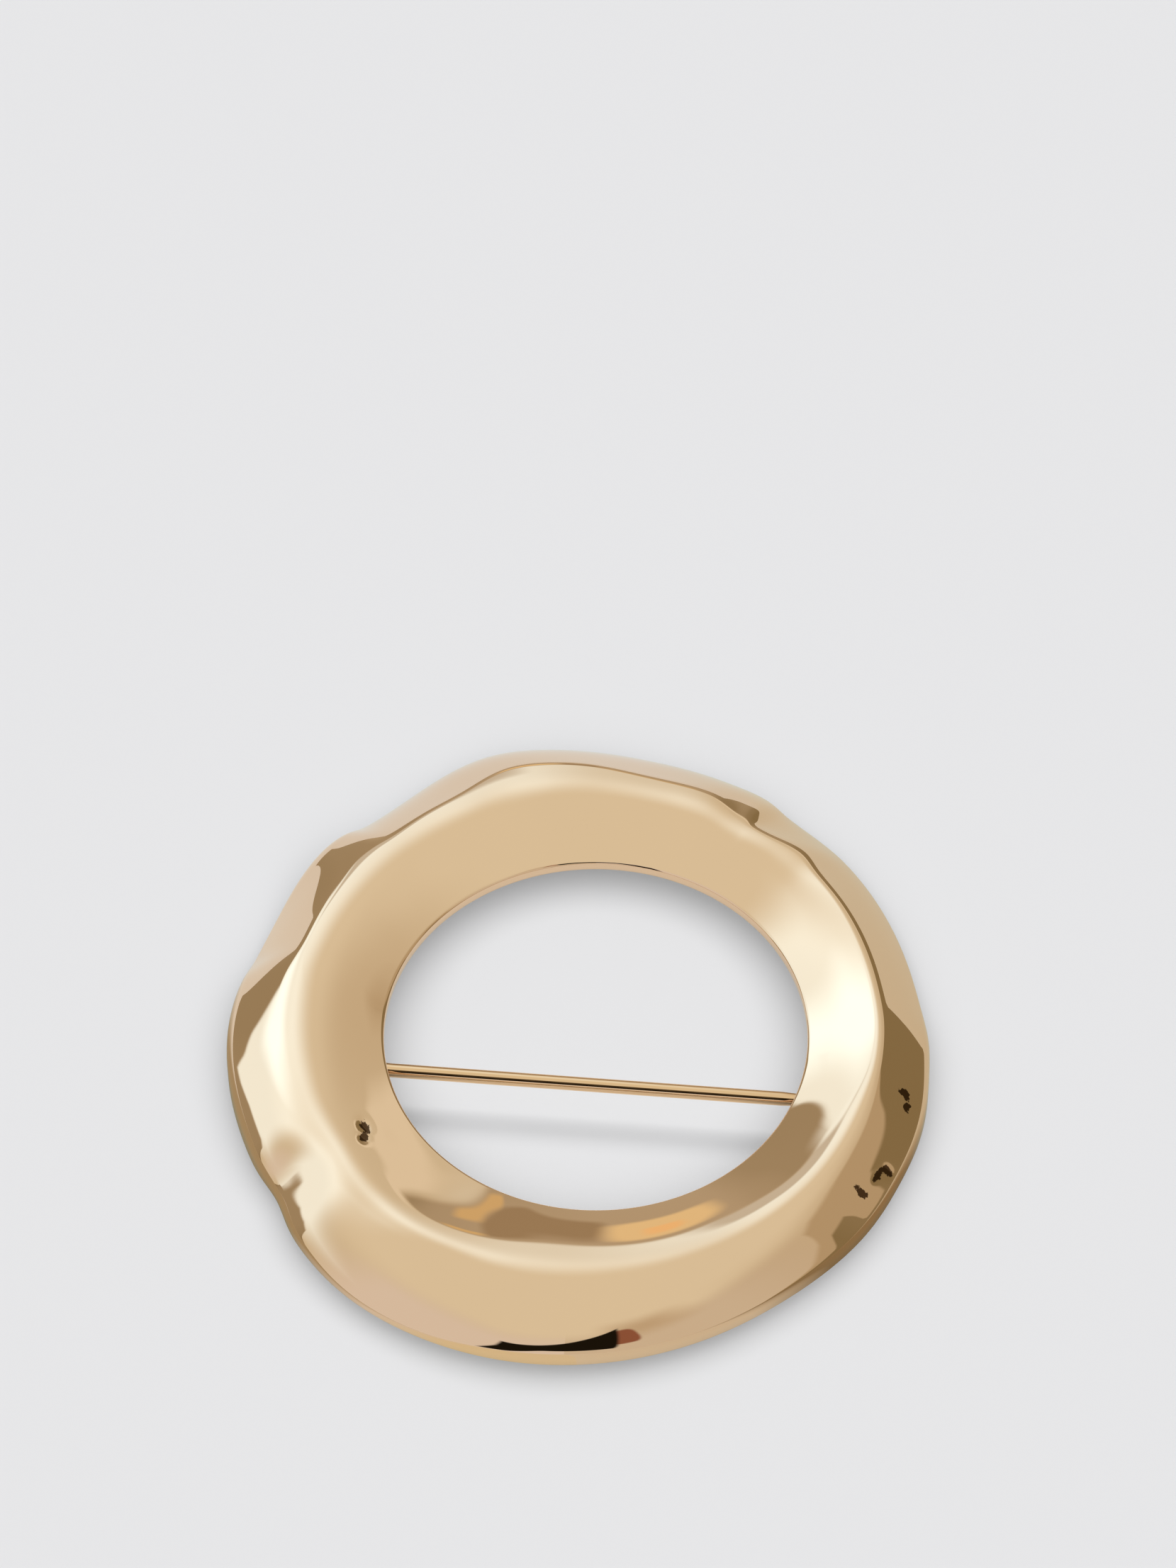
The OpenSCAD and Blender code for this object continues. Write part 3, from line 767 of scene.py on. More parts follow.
def plated_metal_group():
    """Plated metal: a drifting colour, hairlines, nicks painted dark as a painted reflection, and a
    grainy skin where it is cast.
    """
    tree = bpy.data.node_groups.new("Plated metal", "ShaderNodeTree")
    for label, kind, default in (
        ("Colour", "NodeSocketColor", (0.85, 0.62, 0.44, 1)),
        ("Colour Drift", "NodeSocketFloat", 0.02),
        ("Polish", "NodeSocketFloat", 0.03),
        ("Hairlines", "NodeSocketFloat", 0.02),
        ("Cast", "NodeSocketFloat", 0.0),
        ("Cast Roughness", "NodeSocketFloat", 0.34),
        ("Stretch", "NodeSocketVector", (1, 1, 1)),
        # Nick: where the nicks' painted dark reflection goes
        ("Nick", "NodeSocketFloat", 0.0),
    ):
        tree.interface.new_socket(label, in_out="INPUT", socket_type=kind).default_value = default
    for label, kind in (
        ("Colour", "NodeSocketColor"), ("Roughness", "NodeSocketFloat"), ("Height", "NodeSocketFloat"),
    ):
        tree.interface.new_socket(label, in_out="OUTPUT", socket_type=kind)
    nodes = Nodes(tree)
    given, out = tree.nodes.new("NodeGroupInput"), tree.nodes.new("NodeGroupOutput")
    place = nodes.add("ShaderNodeTexCoord").outputs["Object"]
    drift = nodes.math("SUBTRACT", nodes.noise(place, DRIFT_SCALE, 3.0, Roughness=0.5), 0.5)
    shade = nodes.math("MULTIPLY_ADD", drift, given.outputs["Colour Drift"], 1.0)
    tint = nodes.vector("SCALE", {0: given.outputs["Colour"], "Scale": shade})
    # painted reflection: the nicks' insides painted dark brown, with ragged edges
    ragged = nodes.noise(place, NICK_REFLECTION_SCALE, 3.0, Roughness=0.6)
    painted_nick_reflection = nodes.step(nodes.math("MULTIPLY_ADD", ragged, 1.2, given.outputs["Nick"]), 1.12, 1.24)
    tint = nodes.mix(painted_nick_reflection, tint, NICK_PAINTED_REFLECTION)
    stretched = nodes.vector("MULTIPLY", {0: place, 1: given.outputs["Stretch"]})
    fine = nodes.step(nodes.noise(stretched, HAIR_SCALE, 2.0, Distortion=0.4), 0.45, 0.75)
    polish = nodes.math("MULTIPLY_ADD", fine, given.outputs["Hairlines"], given.outputs["Polish"])
    grain = nodes.noise(place, GRAIN_SCALE, 3.0, Roughness=0.6)
    cells = {"Vector": place, "Scale": PORE_SCALE}
    pores = nodes.add("ShaderNodeTexVoronoi", cells).outputs["Distance"]
    skin = nodes.math("MULTIPLY_ADD", nodes.step(pores, 0.0, 0.35), 0.6, grain)
    rough = nodes.math(
        "MULTIPLY_ADD", nodes.math("SUBTRACT", grain, 0.5), 0.25, given.outputs["Cast Roughness"]
    )
    blend = nodes.add(
        "ShaderNodeMix", {0: given.outputs["Cast"], 2: polish, 3: rough}, data_type="FLOAT"
    )
    height = nodes.both(skin, given.outputs["Cast"])
    for socket, value in zip(out.inputs, (tint, blend.outputs[0], height)):
        tree.links.new(value, socket)
    return tree


def plated(name, colour, polish, hairlines, stretch=(1, 1, 1), masked=False, line=False):
    """A plated metal material.

    masked: it reads from the piece where it is cast rough and where its nicks get a painted dark
    reflection.
    line: a thin dark line is painted along the middle of what is seen of it, a painted reflection of
    the camera.
    """
    group = bpy.data.node_groups.get("Plated metal") or plated_metal_group()
    material = bpy.data.materials.new(name)
    material.use_nodes = True
    tree = material.node_tree
    nodes = Nodes(tree)
    shader = tree.nodes["Principled BSDF"]
    shader.inputs["Metallic"].default_value = 1.0
    effect = nodes.add("ShaderNodeGroup", node_tree=group)
    for key, value in (
        ("Colour", (*colour, 1)), ("Polish", polish), ("Hairlines", hairlines), ("Stretch", stretch),
    ):
        effect.inputs[key].default_value = value
    for key in ("Cast", "Nick") if masked else ():
        mask = nodes.add("ShaderNodeAttribute", attribute_name=key.lower(), attribute_type="GEOMETRY")
        tree.links.new(mask.outputs["Fac"], effect.inputs[key])
    bump = nodes.add(
        "ShaderNodeBump", {"Strength": 0.5, "Distance": 0.03 * MM, "Height": effect.outputs["Height"]}
    )
    tint = effect.outputs["Colour"]
    if line:
        # painted reflection of the camera: dark brown where the surface faces the view
        facing = nodes.add("ShaderNodeLayerWeight", {"Blend": 0.5}).outputs["Facing"]
        tint = nodes.mix(nodes.step(facing, 0.004, 0.01), CAMERA_PAINTED_REFLECTION, tint)
    bounced = nodes.add("ShaderNodeLightPath").outputs["Is Diffuse Ray"]
    tint = nodes.mix(bounced, tint, BOUNCE)
    tree.links.new(tint, shader.inputs["Base Color"])
    tree.links.new(effect.outputs["Roughness"], shader.inputs["Roughness"])
    tree.links.new(bump.outputs[0], shader.inputs["Normal"])
    return material


def worn(obj, body, slot, *nodes):
    """The piece moves with its body, and its CAD nodes are hidden."""
    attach(obj, body)
    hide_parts(*nodes)


# ---- settings ----


def length(name, description, millimetres):
    return bpy.props.FloatProperty(
        name=name, description=description, default=millimetres * MM, subtype="DISTANCE",
        unit="LENGTH", precision=5,
    )


def colour(name, description, default):
    return bpy.props.FloatVectorProperty(
        name=name, description=description, default=default, size=3, subtype="COLOR", min=0, max=1
    )


def share(name, description, default):
    return bpy.props.FloatProperty(
        name=name, description=description, default=default, subtype="FACTOR", min=0, max=1
    )


def angle(name, description, degrees):
    return bpy.props.FloatProperty(
        name=name, description=description, default=math.radians(degrees), subtype="ANGLE",
        unit="ROTATION",
    )


def strength(name, description, default):
    return bpy.props.FloatProperty(name=name, description=description, default=default, min=0)


class BROOCH_ring_settings(bpy.types.PropertyGroup):
    hole_radius: length("Hole Radius", "Radius of the round hole at the top of its edge", 16.3)
    hole_stretch: length("Hole Stretch", "How much the hole is longer along X than along Y", 0.1)
    hole_shift: length("Hole Shift", "How far the hole's middle lies towards +X and +Y", 0.3)
    hole_height: length("Hole Height", "Height of the top of the hole's edge", 3.9)
    edge_height: length("Hole Edge", "Height of the upright edge round the hole", 0.9)
    lean: angle("Lean", "Angle by which the ring leans on its far edge", 2)
    far_reach: length("Far Reach", "Distance from the folds' middle to the far edge on the floor", 29.5)
    edge_soft: share("Edge Softness", "Share of the outer edge's side that is rounded off", 0.35)
    foot_width: length("Foot Width", "Width of the flat foot under the outer edge", 0.75)
    wall: length("Wall", "Thickness of the cast shell", 0.8)
    under_soft: length("Underside Softness", "How much softer the crest is on the underside", 2.4)
    edge_round: length("Edge Rounding", "Radius of the polished edges", 0.16)
    hand_depth: length("Hand Work Depth", "How far the hand worked surface swings in and out", 0.013)
    hand_size: length("Hand Work Size", "Size of the hand worked patches", 6.0)
    gold: colour("Gold", "Colour of the plated gold", (0.845, 0.61, 0.435))
    polish: share("Polish Roughness", "Roughness of the polished gold", 0.016)


class BROOCH_pin_settings(bpy.types.PropertyGroup):
    diameter: length("Stem Diameter", "Diameter of the stem's wire", 1.1)
    height: length("Stem Height", "Height of the stem's centre line", 2.2)
    turn: angle("Stem Turn", "Angle between the stem and the X axis", -5)
    offset: length("Stem Offset", "Distance from the hole's centre to the stem's centre line", 3.35)
    hinge_reach: length("Hinge Reach", "Distance along the stem from its middle to the hinge", 20.6)
    catch_reach: length("Catch Reach", "Distance along the stem from its middle to the catch", 19.4)
    tip_beyond: length("Tip Beyond Catch", "Length of the stem beyond the catch's middle", 1.8)
    span: length("Span", "Length of the straight wire that crosses the hole", 30)
    root_diameter: length("Root Diameter", "Diameter of the thicker root next to the eye", 1.2)
    root_taper: length("Root Taper", "Length over which the root narrows to the wire", 2)
    tip_diameter: length("Tip Diameter", "Diameter of the rounded tip", 0.36)
    rivet_diameter: length("Rivet Diameter", "Diameter of the rivet that the stem turns on", 1.0)
    head_diameter: length("Rivet Head", "Diameter of the rivet's two heads", 1.6)
    head_thickness: length("Rivet Head Thickness", "Thickness of the rivet's heads", 0.3)
    eye_diameter: length("Eye Diameter", "Outer diameter of the eye at the stem's end", 2.0)
    eye_width: length("Eye Width", "Width of the eye between the two ears", 1.4)
    ear_thickness: length("Ear Thickness", "Thickness of each ear of the bracket", 0.5)
    run_gap: length("Running Gap", "Clearance round the rivet and beside the eye", 0.06)
    foot_thickness: length("Foot Thickness", "Thickness of the bracket's foot", 0.45)
    foot_length: length("Foot Length", "Length of the bracket's foot along the stem", 3.6)
    bracket_top: length("Bracket Top", "Height of the face that the bracket is soldered to", 4.0)
    catch_width: length("Catch Width", "Width of the catch along the stem", 2.0)
    catch_top: length("Catch Top", "Height of the face that the catch is soldered to", 3.7)
    prong_thickness: length("Prong Thickness", "Thickness of each prong of the catch", 0.6)
    rest_gap: length("Rest Gap", "Height of the lower ends of the ears and prongs", 0.05)
    catch_gap: length("Catch Gap", "Clearance between the stem and the catch", 0.06)
    gold: colour("Wire Gold", "Colour of the gold plated wire", (0.85, 0.575, 0.36))
    polish: share("Wire Roughness", "Roughness of the drawn wire", 0.03)


class BROOCH_stage_settings(bpy.types.PropertyGroup):
    floor: colour("Floor", "Colour of the floor", (0.74, 0.74, 0.75))
    overhead: colour("Overhead", "Colour of the warm light from above", (0.815, 0.825, 0.69))
    low_light: colour("Low Light", "Colour of the dimmer band below overhead", (0.72, 0.71, 0.57))
    walls: colour("Walls", "Colour of the dark walls", (0.27, 0.225, 0.12))
    softbox: strength("Softbox", "Brightness of the softbox behind on the left", 0.96)
    sky: strength("Sky", "Brightness of the light from all round that falls on the floor", 0.14)
    overhead_light: strength("Overhead Light", "Strength of the soft light over the camera", 2.19)
    glow: strength("Table Glow", "Brightness of the light that shines up through the floor", 0.06)
    key: strength("Key Light", "Strength of the light that throws the stem's shadow", 1.25)
    distance: length("Camera Distance", "Distance of the camera from the hole's centre", 520)
    elevation: angle("Camera Elevation", "Angle of the camera above the floor", 56)


# ---- operators ----


class BROOCH_OT_ring(bpy.types.Operator):
    """Build the folded gold ring"""

    bl_idname = "brooch.ring"
    bl_label = "Folded Ring"

    def execute(self, context):
        ring, pin = context.scene.brooch_ring, context.scene.brooch_pin
        # the ring's nicks get a painted dark reflection, read from its nick attribute
        gold = plated("Polished gold", ring.gold, ring.polish, hairlines=0.01, masked=True)
        points, cast, hand, nick = ring_grid(ring, pin)
        raw = closed_grid("ring_cage", points, [("cast", cast), ("hand", hand), ("nick", nick)])
        modifier_inputs(
            raw, hand_work_tree(),
            {"Depth": ring.hand_depth, "Patch Size": ring.hand_size, "Seed": 4.0, "Material": gold},
        )
        piece = rested(raw, "brooch_ring")
        worn(piece, "brooch", "polished_gold", "ring")
        return {"FINISHED"}


class BROOCH_OT_hinge(bpy.types.Operator):
    """Build the hinge bracket and its rivet"""

    bl_idname = "brooch.hinge"
    bl_label = "Hinge"

    def execute(self, context):
        ring, pin = context.scene.brooch_ring, context.scene.brooch_pin
        gold = plated("Soldered gold", ring.gold, polish=0.12, hairlines=0.05)
        place, _ = hinge_and_catch(pin)
        at = on_stem(ring, pin, place)
        drop = pin.bracket_top - pin.height
        wide = bracket_width(pin)
        top = drop - pin.foot_thickness / 2
        foot = plate(
            "foot", [rounded_box(pin.foot_length / 2, -wide / 2, wide / 2, FOOT_CORNER, 6)],
            pin.foot_thickness, FOOT_ROUNDING, at @ Matrix.Translation((0, 0, top)),
        )
        eye_r = pin.eye_diameter / 2
        low = pin.rest_gap - pin.height
        outline = arc(0, low + eye_r, eye_r, 180, 360, 24) + [(eye_r, top), (-eye_r, top)]
        bore = arc(0, 0, pin.rivet_diameter / 2, 360, 360 / 32, 31)
        stand = Matrix.Rotation(math.pi / 2, 4, "X")
        gap = (pin.eye_width + 2 * pin.run_gap + pin.ear_thickness) / 2
        ears = [
            plate("ear", [outline, bore], pin.ear_thickness, PLATE_ROUNDING,
                  at @ Matrix.Translation((0, side * gap, 0)) @ stand)
            for side in (-1, 1)
        ]
        bracket = joined("brooch_hinge_bracket", [foot, *ears])
        softened(bracket)
        bracket.data.materials.append(gold)
        worn(bracket, "brooch", "polished_gold", "hinge_bracket")
        end = wide / 2 + pin.head_thickness
        shaft, head = pin.rivet_diameter / 2, pin.head_diameter / 2
        dome = [
            (end - pin.head_thickness * (1 - math.sin(a)), head * (1 - 0.92 * (1 - math.cos(a))))
            for a in (math.radians(d) for d in range(15, 90, 15))
        ]
        right = [(wide / 2, shaft), (wide / 2, head * 0.94), (wide / 2 + 0.05 * MM, head), *dome]
        profile = [(-x, y) for x, y in reversed(right)] + right
        across = Matrix.Rotation(math.pi / 2, 4, "Z")
        rivet = rod("brooch_hinge_rivet", profile, gold, at @ across)
        softened(rivet)
        worn(rivet, "brooch", "polished_gold", "hinge_rivet")
        return {"FINISHED"}


class BROOCH_OT_stem(bpy.types.Operator):
    """Build the pin stem with its eye and its tapered tip"""

    bl_idname = "brooch.stem"
    bl_label = "Pin Stem"

    def execute(self, context):
        ring, pin = context.scene.brooch_ring, context.scene.brooch_pin
        # the wire gets the painted camera reflection, a thin dark line along its middle
        gold = plated(
            "Gold wire", pin.gold, pin.polish, hairlines=0.03, stretch=(0.04, 1, 1), line=True
        )
        place, _ = hinge_and_catch(pin)
        at = on_stem(ring, pin, place)
        inner, outer = pin.rivet_diameter / 2 + pin.run_gap, pin.eye_diameter / 2
        start = outer - ROOT_BITE
        span_start = pin.hinge_reach - pin.span / 2
        span_end = pin.hinge_reach + pin.span / 2
        tip = pin.hinge_reach + pin.catch_reach + pin.tip_beyond
        root, wire, end = pin.root_diameter / 2, pin.diameter / 2, pin.tip_diameter / 2
        # the root and its taper, the straight wire, the long taper and the rounded tip
        profile = [(start, root), (span_start - pin.root_taper, root)]
        profile += [
            (span_start - pin.root_taper * (1 - k), root + (wire - root) * (3 - 2 * k) * k**2)
            for k in (step / 8 for step in range(1, 9))
        ]
        profile += [(span_start + (span_end - span_start) * k / 4, wire) for k in range(1, 5)]
        taper = tip - span_end
        profile += [(span_end + taper * k / 12, wire + (end - wire) * k / 12) for k in range(1, 13)]
        profile += [
            (tip + end * math.sin(a), end * math.cos(a)) for a in map(math.radians, range(15, 90, 15))
        ]
        shaft = rod("shaft", profile, gold, at)
        section = rounded_box(pin.eye_width / 2, inner, outer, EYE_ROUNDING, 5)
        turns = np.radians(np.arange(EYE_STEPS) * 360 / EYE_STEPS)
        points = [[(y * math.cos(t), x, y * math.sin(t)) for x, y in section] for t in turns]
        eye = closed_grid("eye", np.array(points))
        eye.data.transform(at)
        eye.data.materials.append(gold)
        stem = joined("brooch_pin_stem", [shaft, eye])
        softened(stem)
        stem.data.materials.append(gold)
        worn(stem, "stem", "gold_wire", "pin_stem")
        return {"FINISHED"}


class BROOCH_OT_catch(bpy.types.Operator):
    """Build the catch that holds the stem's tip"""

    bl_idname = "brooch.catch"
    bl_label = "Catch"

    def execute(self, context):
        ring, pin = context.scene.brooch_ring, context.scene.brooch_pin
        gold = plated("Catch gold", ring.gold, polish=0.12, hairlines=0.05)
        _, place = hinge_and_catch(pin)
        at = on_stem(ring, pin, place)
        slot = slot_width(pin) / 2
        half = catch_length(pin) / 2
        rise = pin.catch_top - pin.height
        mid = (slot + half) / 2
        r = (half - slot) / 2
        low = pin.rest_gap - pin.height + r
        prongs = [arc(x, low, r, 180, 360, 10) for x in (-mid, mid)]
        outline = [(half, rise), (-half, rise), *prongs[0], *arc(0, 0, slot, 180, 0, 20), *prongs[1]]
        stand = Matrix.Rotation(math.pi / 2, 4, "Z") @ Matrix.Rotation(math.pi / 2, 4, "X")
        catch = plate("brooch_catch", [outline], pin.catch_width, PLATE_ROUNDING, at @ stand)
        softened(catch)
        catch.data.materials.append(gold)
        worn(catch, "brooch", "polished_gold", "catch")
        return {"FINISHED"}


class BROOCH_OT_stage(bpy.types.Operator):
    """Set the pale floor, the soft studio light and the camera"""

    bl_idname = "brooch.stage"
    bl_label = "Studio"

    def execute(self, context):
        scene = context.scene
        stage, ring = scene.brooch_stage, scene.brooch_ring
        floor_mesh = bpy.data.meshes.new("studio_floor")
        w = FLOOR_HALF
        floor_mesh.from_pydata([(-w, -w, 0), (w, -w, 0), (w, w, 0), (-w, w, 0)], [], [(0, 1, 2, 3)])
        floor_mesh.materials.append(studio_paper(stage))
        floor = linked("studio_floor", floor_mesh)
        floor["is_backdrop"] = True
        studio_light(stage)
        stem = ["brooch_pin_stem"]
        rest = [obj.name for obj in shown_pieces() if obj.name not in stem]
        soft_sun("key_light", stage.key, width=12, heading=30, height=31, blockers=stem)
        soft_sun(
            "overhead_light", stage.overhead_light, width=94, heading=180, height=74, blockers=rest
        )
        scene.view_settings.view_transform = "Standard"
        photo_camera(scene, stage, ring)
        return {"FINISHED"}


def soft_sun(name, strength, width, heading, height, blockers):
    """A light from far away that only the floor shows. blockers: the pieces that throw its shadow."""
    sun = bpy.data.lights.new(name, "SUN")
    sun.energy = strength
    sun.angle = math.radians(width)
    lamp = linked(name, sun)
    lamp.visible_glossy = False
    turn, up = math.radians(heading), math.radians(height)
    way = Vector((-math.sin(turn) * math.cos(up), math.cos(turn) * math.cos(up), math.sin(up)))
    lamp.rotation_euler = way.to_track_quat("Z", "Y").to_euler()
    shadows = bpy.data.collections.new(name + "_shadows")
    for piece in blockers:
        shadows.objects.link(bpy.data.objects[piece])
    lamp.light_linking.blocker_collection = shadows


def studio_paper(stage):
    """A pale light table. It glows a little, and to the metal's mirrored rays its colour is a painted
    reflection, dimmer at the sides and warmer in the hole.
    """
    paper = bpy.data.materials.new("Studio paper")
    paper.use_nodes = True
    tree = paper.node_tree
    nodes = Nodes(tree)
    shader = tree.nodes["Principled BSDF"]
    x, y, _ = nodes.add(
        "ShaderNodeSeparateXYZ", {0: nodes.add("ShaderNodeTexCoord").outputs["Object"]}
    ).outputs
    turn = nodes.math("DIVIDE", nodes.math("ARCTAN2", nodes.math("MULTIPLY", x, -1.0), y), 2 * math.pi)
    ramp = heading_ramp(nodes, nodes.math("ADD", turn, 0.5), [(at, rgb) for at, *rgb in PAPER_REFLECTION_ROUND])
    reach = nodes.math("SQRT", nodes.math("ADD", nodes.both(x, x), nodes.both(y, y)))
    # painted reflection: the paper in the hole is mirrored warmer and dimmer, which fades out under the
    # ring
    mirrored = nodes.mix(nodes.step(reach, 18 * MM, 26 * MM), PAPER_REFLECTION_IN_HOLE, ramp)
    glossy = nodes.add("ShaderNodeLightPath").outputs["Is Glossy Ray"]
    tint = nodes.mix(glossy, (*stage.floor, 1), mirrored)
    tree.links.new(tint, shader.inputs["Base Color"])
    tree.links.new(tint, shader.inputs["Emission Color"])
    shader.inputs["Emission Strength"].default_value = stage.glow
    shader.inputs["Roughness"].default_value = 0.9
    shader.inputs["Specular IOR Level"].default_value = 0.0
    return paper


def heading_ramp(nodes, turn, rows):
    """A colour by heading from rows of (heading, colour). turn: the heading as a share of the round."""
    ramp = nodes.add("ShaderNodeValToRGB", {0: turn})
    stops = ramp.color_ramp.elements
    while len(stops) < len(rows):
        stops.new(0.5)
    for stop, (heading, rgb) in zip(stops, rows):
        stop.position = heading / 360 + 0.5
        stop.color = (*rgb, 1)
    return ramp.outputs[0]


class Dome(Nodes):
    """The mirrored studio by heading and height in degrees, painted in layers, each over the last."""

    def __init__(self, tree):
        super().__init__(tree)
        way = self.add("ShaderNodeTexCoord").outputs["Generated"]
        x, y, z = self.add("ShaderNodeSeparateXYZ", {0: way}).outputs
        degrees = 180 / math.pi
        self.up = self.both(self.math("ARCSINE", z), degrees)
        self.turn = self.both(self.math("ARCTAN2", self.both(x, -1.0), y), degrees)

    def paint(self, mask, colour, blend="MIX"):
        self.light = self.mix(mask, self.light, colour, blend)

    def from_middle(self, value, middle):
        return self.math("ABSOLUTE", self.math("SUBTRACT", value, middle))

    def patch(self, heading, height, half_width, half_height, soft):
        """1 inside a rounded patch of the dome and 0 outside. soft: the share of it that fades."""
        sides = (self.turn, heading, half_width), (self.up, height, half_height)
        shares = [self.math("DIVIDE", self.from_middle(value, at), half) for value, at, half in sides]
        reach = self.math("ADD", *(self.math("POWER", share, 4.0) for share in shares))
        return self.step(self.math("POWER", reach, 0.25), 1.0, 1.0 - soft)

    def paint_patches(self, rows):
        for *place, colour in rows:
            self.paint(self.patch(*place), colour)

    def paint_room(self, stage):
        """Light from above, dimmer low down, the camera's side of the room, and a haze on the right."""
        up, turn, step = self.up, self.turn, self.step
        self.light = self.mix(step(up, 62, 40), (*stage.overhead, 1), (*stage.low_light, 1))
        near = self.mix(step(turn, -60, 60), NEAR_RIGHT, NEAR_LEFT)
        self.paint(self.both(step(self.math("ABSOLUTE", turn), 96, 118), step(up, 62, 46)), near)
        haze = self.both(step(self.from_middle(turn, -75), 58, 30), step(up, 70, 46))
        self.paint(self.both(haze, 0.5), HAZE)

    def paint_softbox(self, stage):
        """The softbox behind on the left, its left side pointed, and a glow in its right half."""
        slant = self.math("MULTIPLY_ADD", self.from_middle(self.up, 30.0), 0.9, self.turn)
        sides = self.both(self.step(self.turn, -16, 16), self.step(slant, 116, 84))
        box = self.both(sides, self.step(self.up, 73, 53))
        glow = self.both(self.patch(38, 44, 16, 15, 0.8), 0.75)
        self.paint(self.both(self.math("ADD", box, glow), stage.softbox), SOFTBOX, "ADD")
        self.light.node.clamp_factor = False

    def paint_walls(self, stage):
        """The brown walls and the dark ones in front of them, paler behind the ring."""
        rows = [(heading, (low / 90, high / 90, pale)) for heading, low, high, pale in WALLS]
        ramp = heading_ramp(self, self.math("MULTIPLY_ADD", self.turn, 1 / 360, 0.5), rows)
        low, high, pale = self.add("ShaderNodeSeparateXYZ", {0: ramp}).outputs
        dark = self.mix(pale, (*stage.walls, 1), PALE_WALLS)
        for share, soft, tint in ((high, 3.0, BACK_WALLS), (low, 1.5, dark)):
            top = self.both(share, 90.0)
            over = self.step(self.math("SUBTRACT", top, self.up), -soft, soft)
            self.paint(self.both(over, self.step(top, 0.0, 2.0)), tint)

    def paint_flag(self):
        """A black flag on the camera's side, which the ring's near side mirrors as a black strip."""
        round_left = self.math("FLOORED_MODULO", self.turn, 360.0)
        past = self.math("SUBTRACT", round_left, 155.0)
        right_end = self.math("MULTIPLY_ADD", self.up, -0.2, round_left)
        sides = self.both(self.step(round_left, 150, 153), self.step(right_end, 190.5, 188.5))
        top = self.math("MULTIPLY_ADD", self.both(past, past), 0.0062, 46.8)
        # lower on the left, but not where the stem's wire would mirror it too
        low = self.math("MULTIPLY_ADD", self.step(round_left, 160, 174), 24.0, 4.0)
        above = self.step(self.math("SUBTRACT", self.up, low), 0.0, 2.0)
        below = self.step(self.math("SUBTRACT", top, self.up), -0.5, 0.5)
        self.paint(self.both(sides, self.both(above, below)), BLACK_FLAG)


def studio_light(stage):
    """The world: the metal mirrors the dome, a plain sky lights the floor, the camera sees paper."""
    world = bpy.data.worlds.new("Studio")
    bpy.context.scene.world = world
    world.use_nodes = True
    world.node_tree.nodes.clear()
    dome = Dome(world.node_tree)
    dome.paint_room(stage)
    dome.paint_softbox(stage)
    dome.paint_patches(PATCHES)
    dome.paint_walls(stage)
    dome.paint_patches(LAMPS)
    dome.paint_flag()
    dome.paint(dome.step(dome.up, 0.0, -0.5), PAPER)
    path = dome.add("ShaderNodeLightPath")
    sky = (stage.sky, stage.sky, stage.sky, 1)
    dome.light = dome.mix(path.outputs["Is Glossy Ray"], sky, dome.light)
    dome.paint(path.outputs["Is Camera Ray"], PAPER)
    backdrop = dome.add("ShaderNodeBackground", {"Color": dome.light})
    dome.add("ShaderNodeOutputWorld", {"Surface": backdrop.outputs[0]})


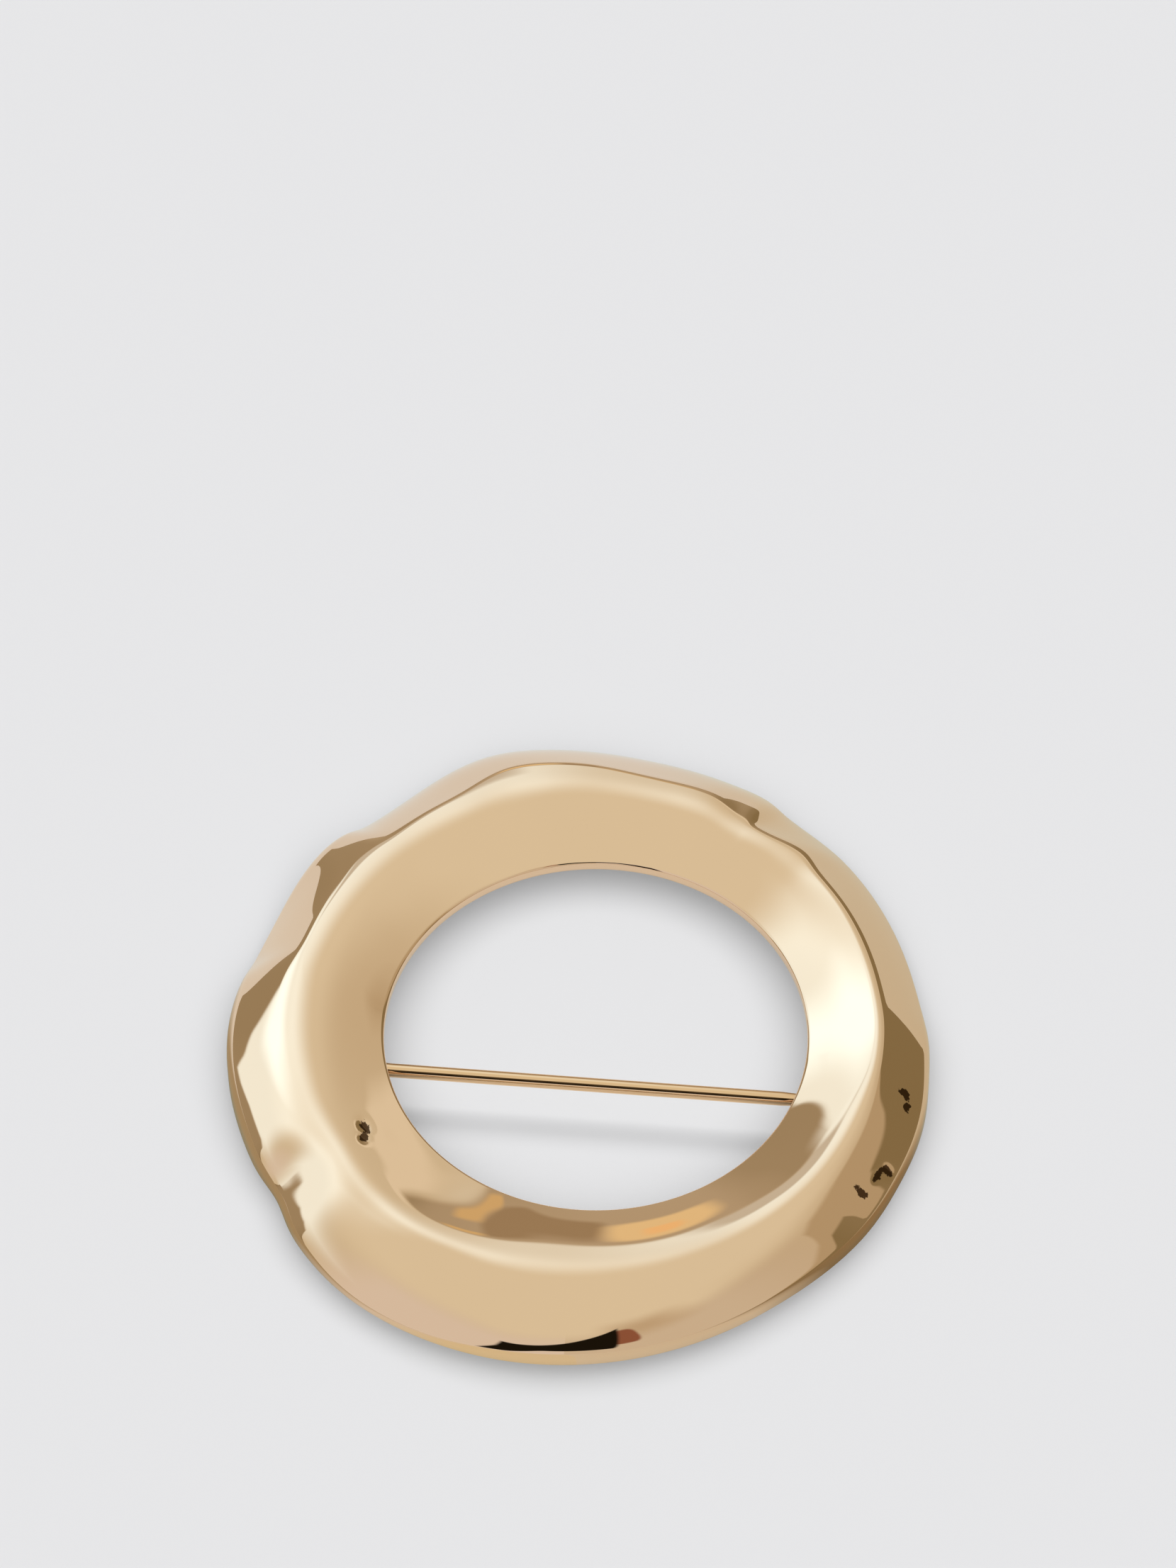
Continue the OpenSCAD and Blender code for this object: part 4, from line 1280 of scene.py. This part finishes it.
def photo_camera(scene, stage, ring):
    """The photograph's view, turned so that the hole's centre on the floor comes at its own pixel."""
    focal = PIXELS_PER_MM / MM * stage.distance
    right, down = (HOLE_X - PHOTO_WIDE / 2) / focal, (HOLE_Y - PHOTO_HIGH / 2) / focal
    tilt = stage.elevation - math.atan(down)
    yaw = math.atan(right * math.cos(math.atan(down)))
    ahead = Vector((0, math.cos(tilt), -math.sin(tilt)))
    side = Vector((1, 0, 0))
    look = (ahead * math.cos(yaw) - side * math.sin(yaw)).normalized()
    across = (side * math.cos(yaw) + ahead * math.sin(yaw)).normalized()
    hole = -Vector(ring_middle(ring) * MM)
    back = Vector((0, -math.cos(stage.elevation), math.sin(stage.elevation)))
    data = bpy.data.cameras.new("photo_camera")
    data.sensor_fit = "HORIZONTAL"
    data.sensor_width = 36
    data.lens = focal * data.sensor_width / PHOTO_WIDE
    data.clip_start = 0.01
    data.clip_end = 20
    scene.camera = linked("photo_camera", data)
    turned = Matrix((across, across.cross(look), -look)).transposed().to_4x4()
    scene.camera.matrix_world = Matrix.Translation(hole + back * stage.distance) @ turned


class BROOCH_PT_panel(bpy.types.Panel):
    """Settings and builders of the brooch"""

    bl_label = "Ring Brooch"
    bl_idname = "BROOCH_PT_panel"
    bl_space_type = "VIEW_3D"
    bl_region_type = "UI"
    bl_category = "Ring Brooch"

    def draw(self, context):
        for operators, group in BUILDERS:
            box = self.layout.box()
            for operator in operators:
                box.operator(operator.bl_idname)
            settings = getattr(context.scene, group)
            for key in settings.bl_rna.properties.keys():
                if key not in {"rna_type", "name"}:
                    box.prop(settings, key)


SETTINGS = {
    "brooch_ring": BROOCH_ring_settings,
    "brooch_pin": BROOCH_pin_settings,
    "brooch_stage": BROOCH_stage_settings,
}
BUILDERS = [
    ([BROOCH_OT_ring], "brooch_ring"),
    ([BROOCH_OT_hinge, BROOCH_OT_stem, BROOCH_OT_catch], "brooch_pin"),
    ([BROOCH_OT_stage], "brooch_stage"),
]
CLASSES = [*SETTINGS.values(), *(one for group, _ in BUILDERS for one in group), BROOCH_PT_panel]


def register():
    for cls in CLASSES:
        bpy.utils.register_class(cls)
    for name, cls in SETTINGS.items():
        setattr(bpy.types.Scene, name, bpy.props.PointerProperty(type=cls))


def unregister():
    for name in SETTINGS:
        delattr(bpy.types.Scene, name)
    for cls in reversed(CLASSES):
        bpy.utils.unregister_class(cls)


def main():
    register()
    bpy.ops.brooch.ring()
    bpy.ops.brooch.hinge()
    bpy.ops.brooch.stem()
    bpy.ops.brooch.catch()
    bpy.ops.brooch.stage()


if __name__ == "__main__":
    main()
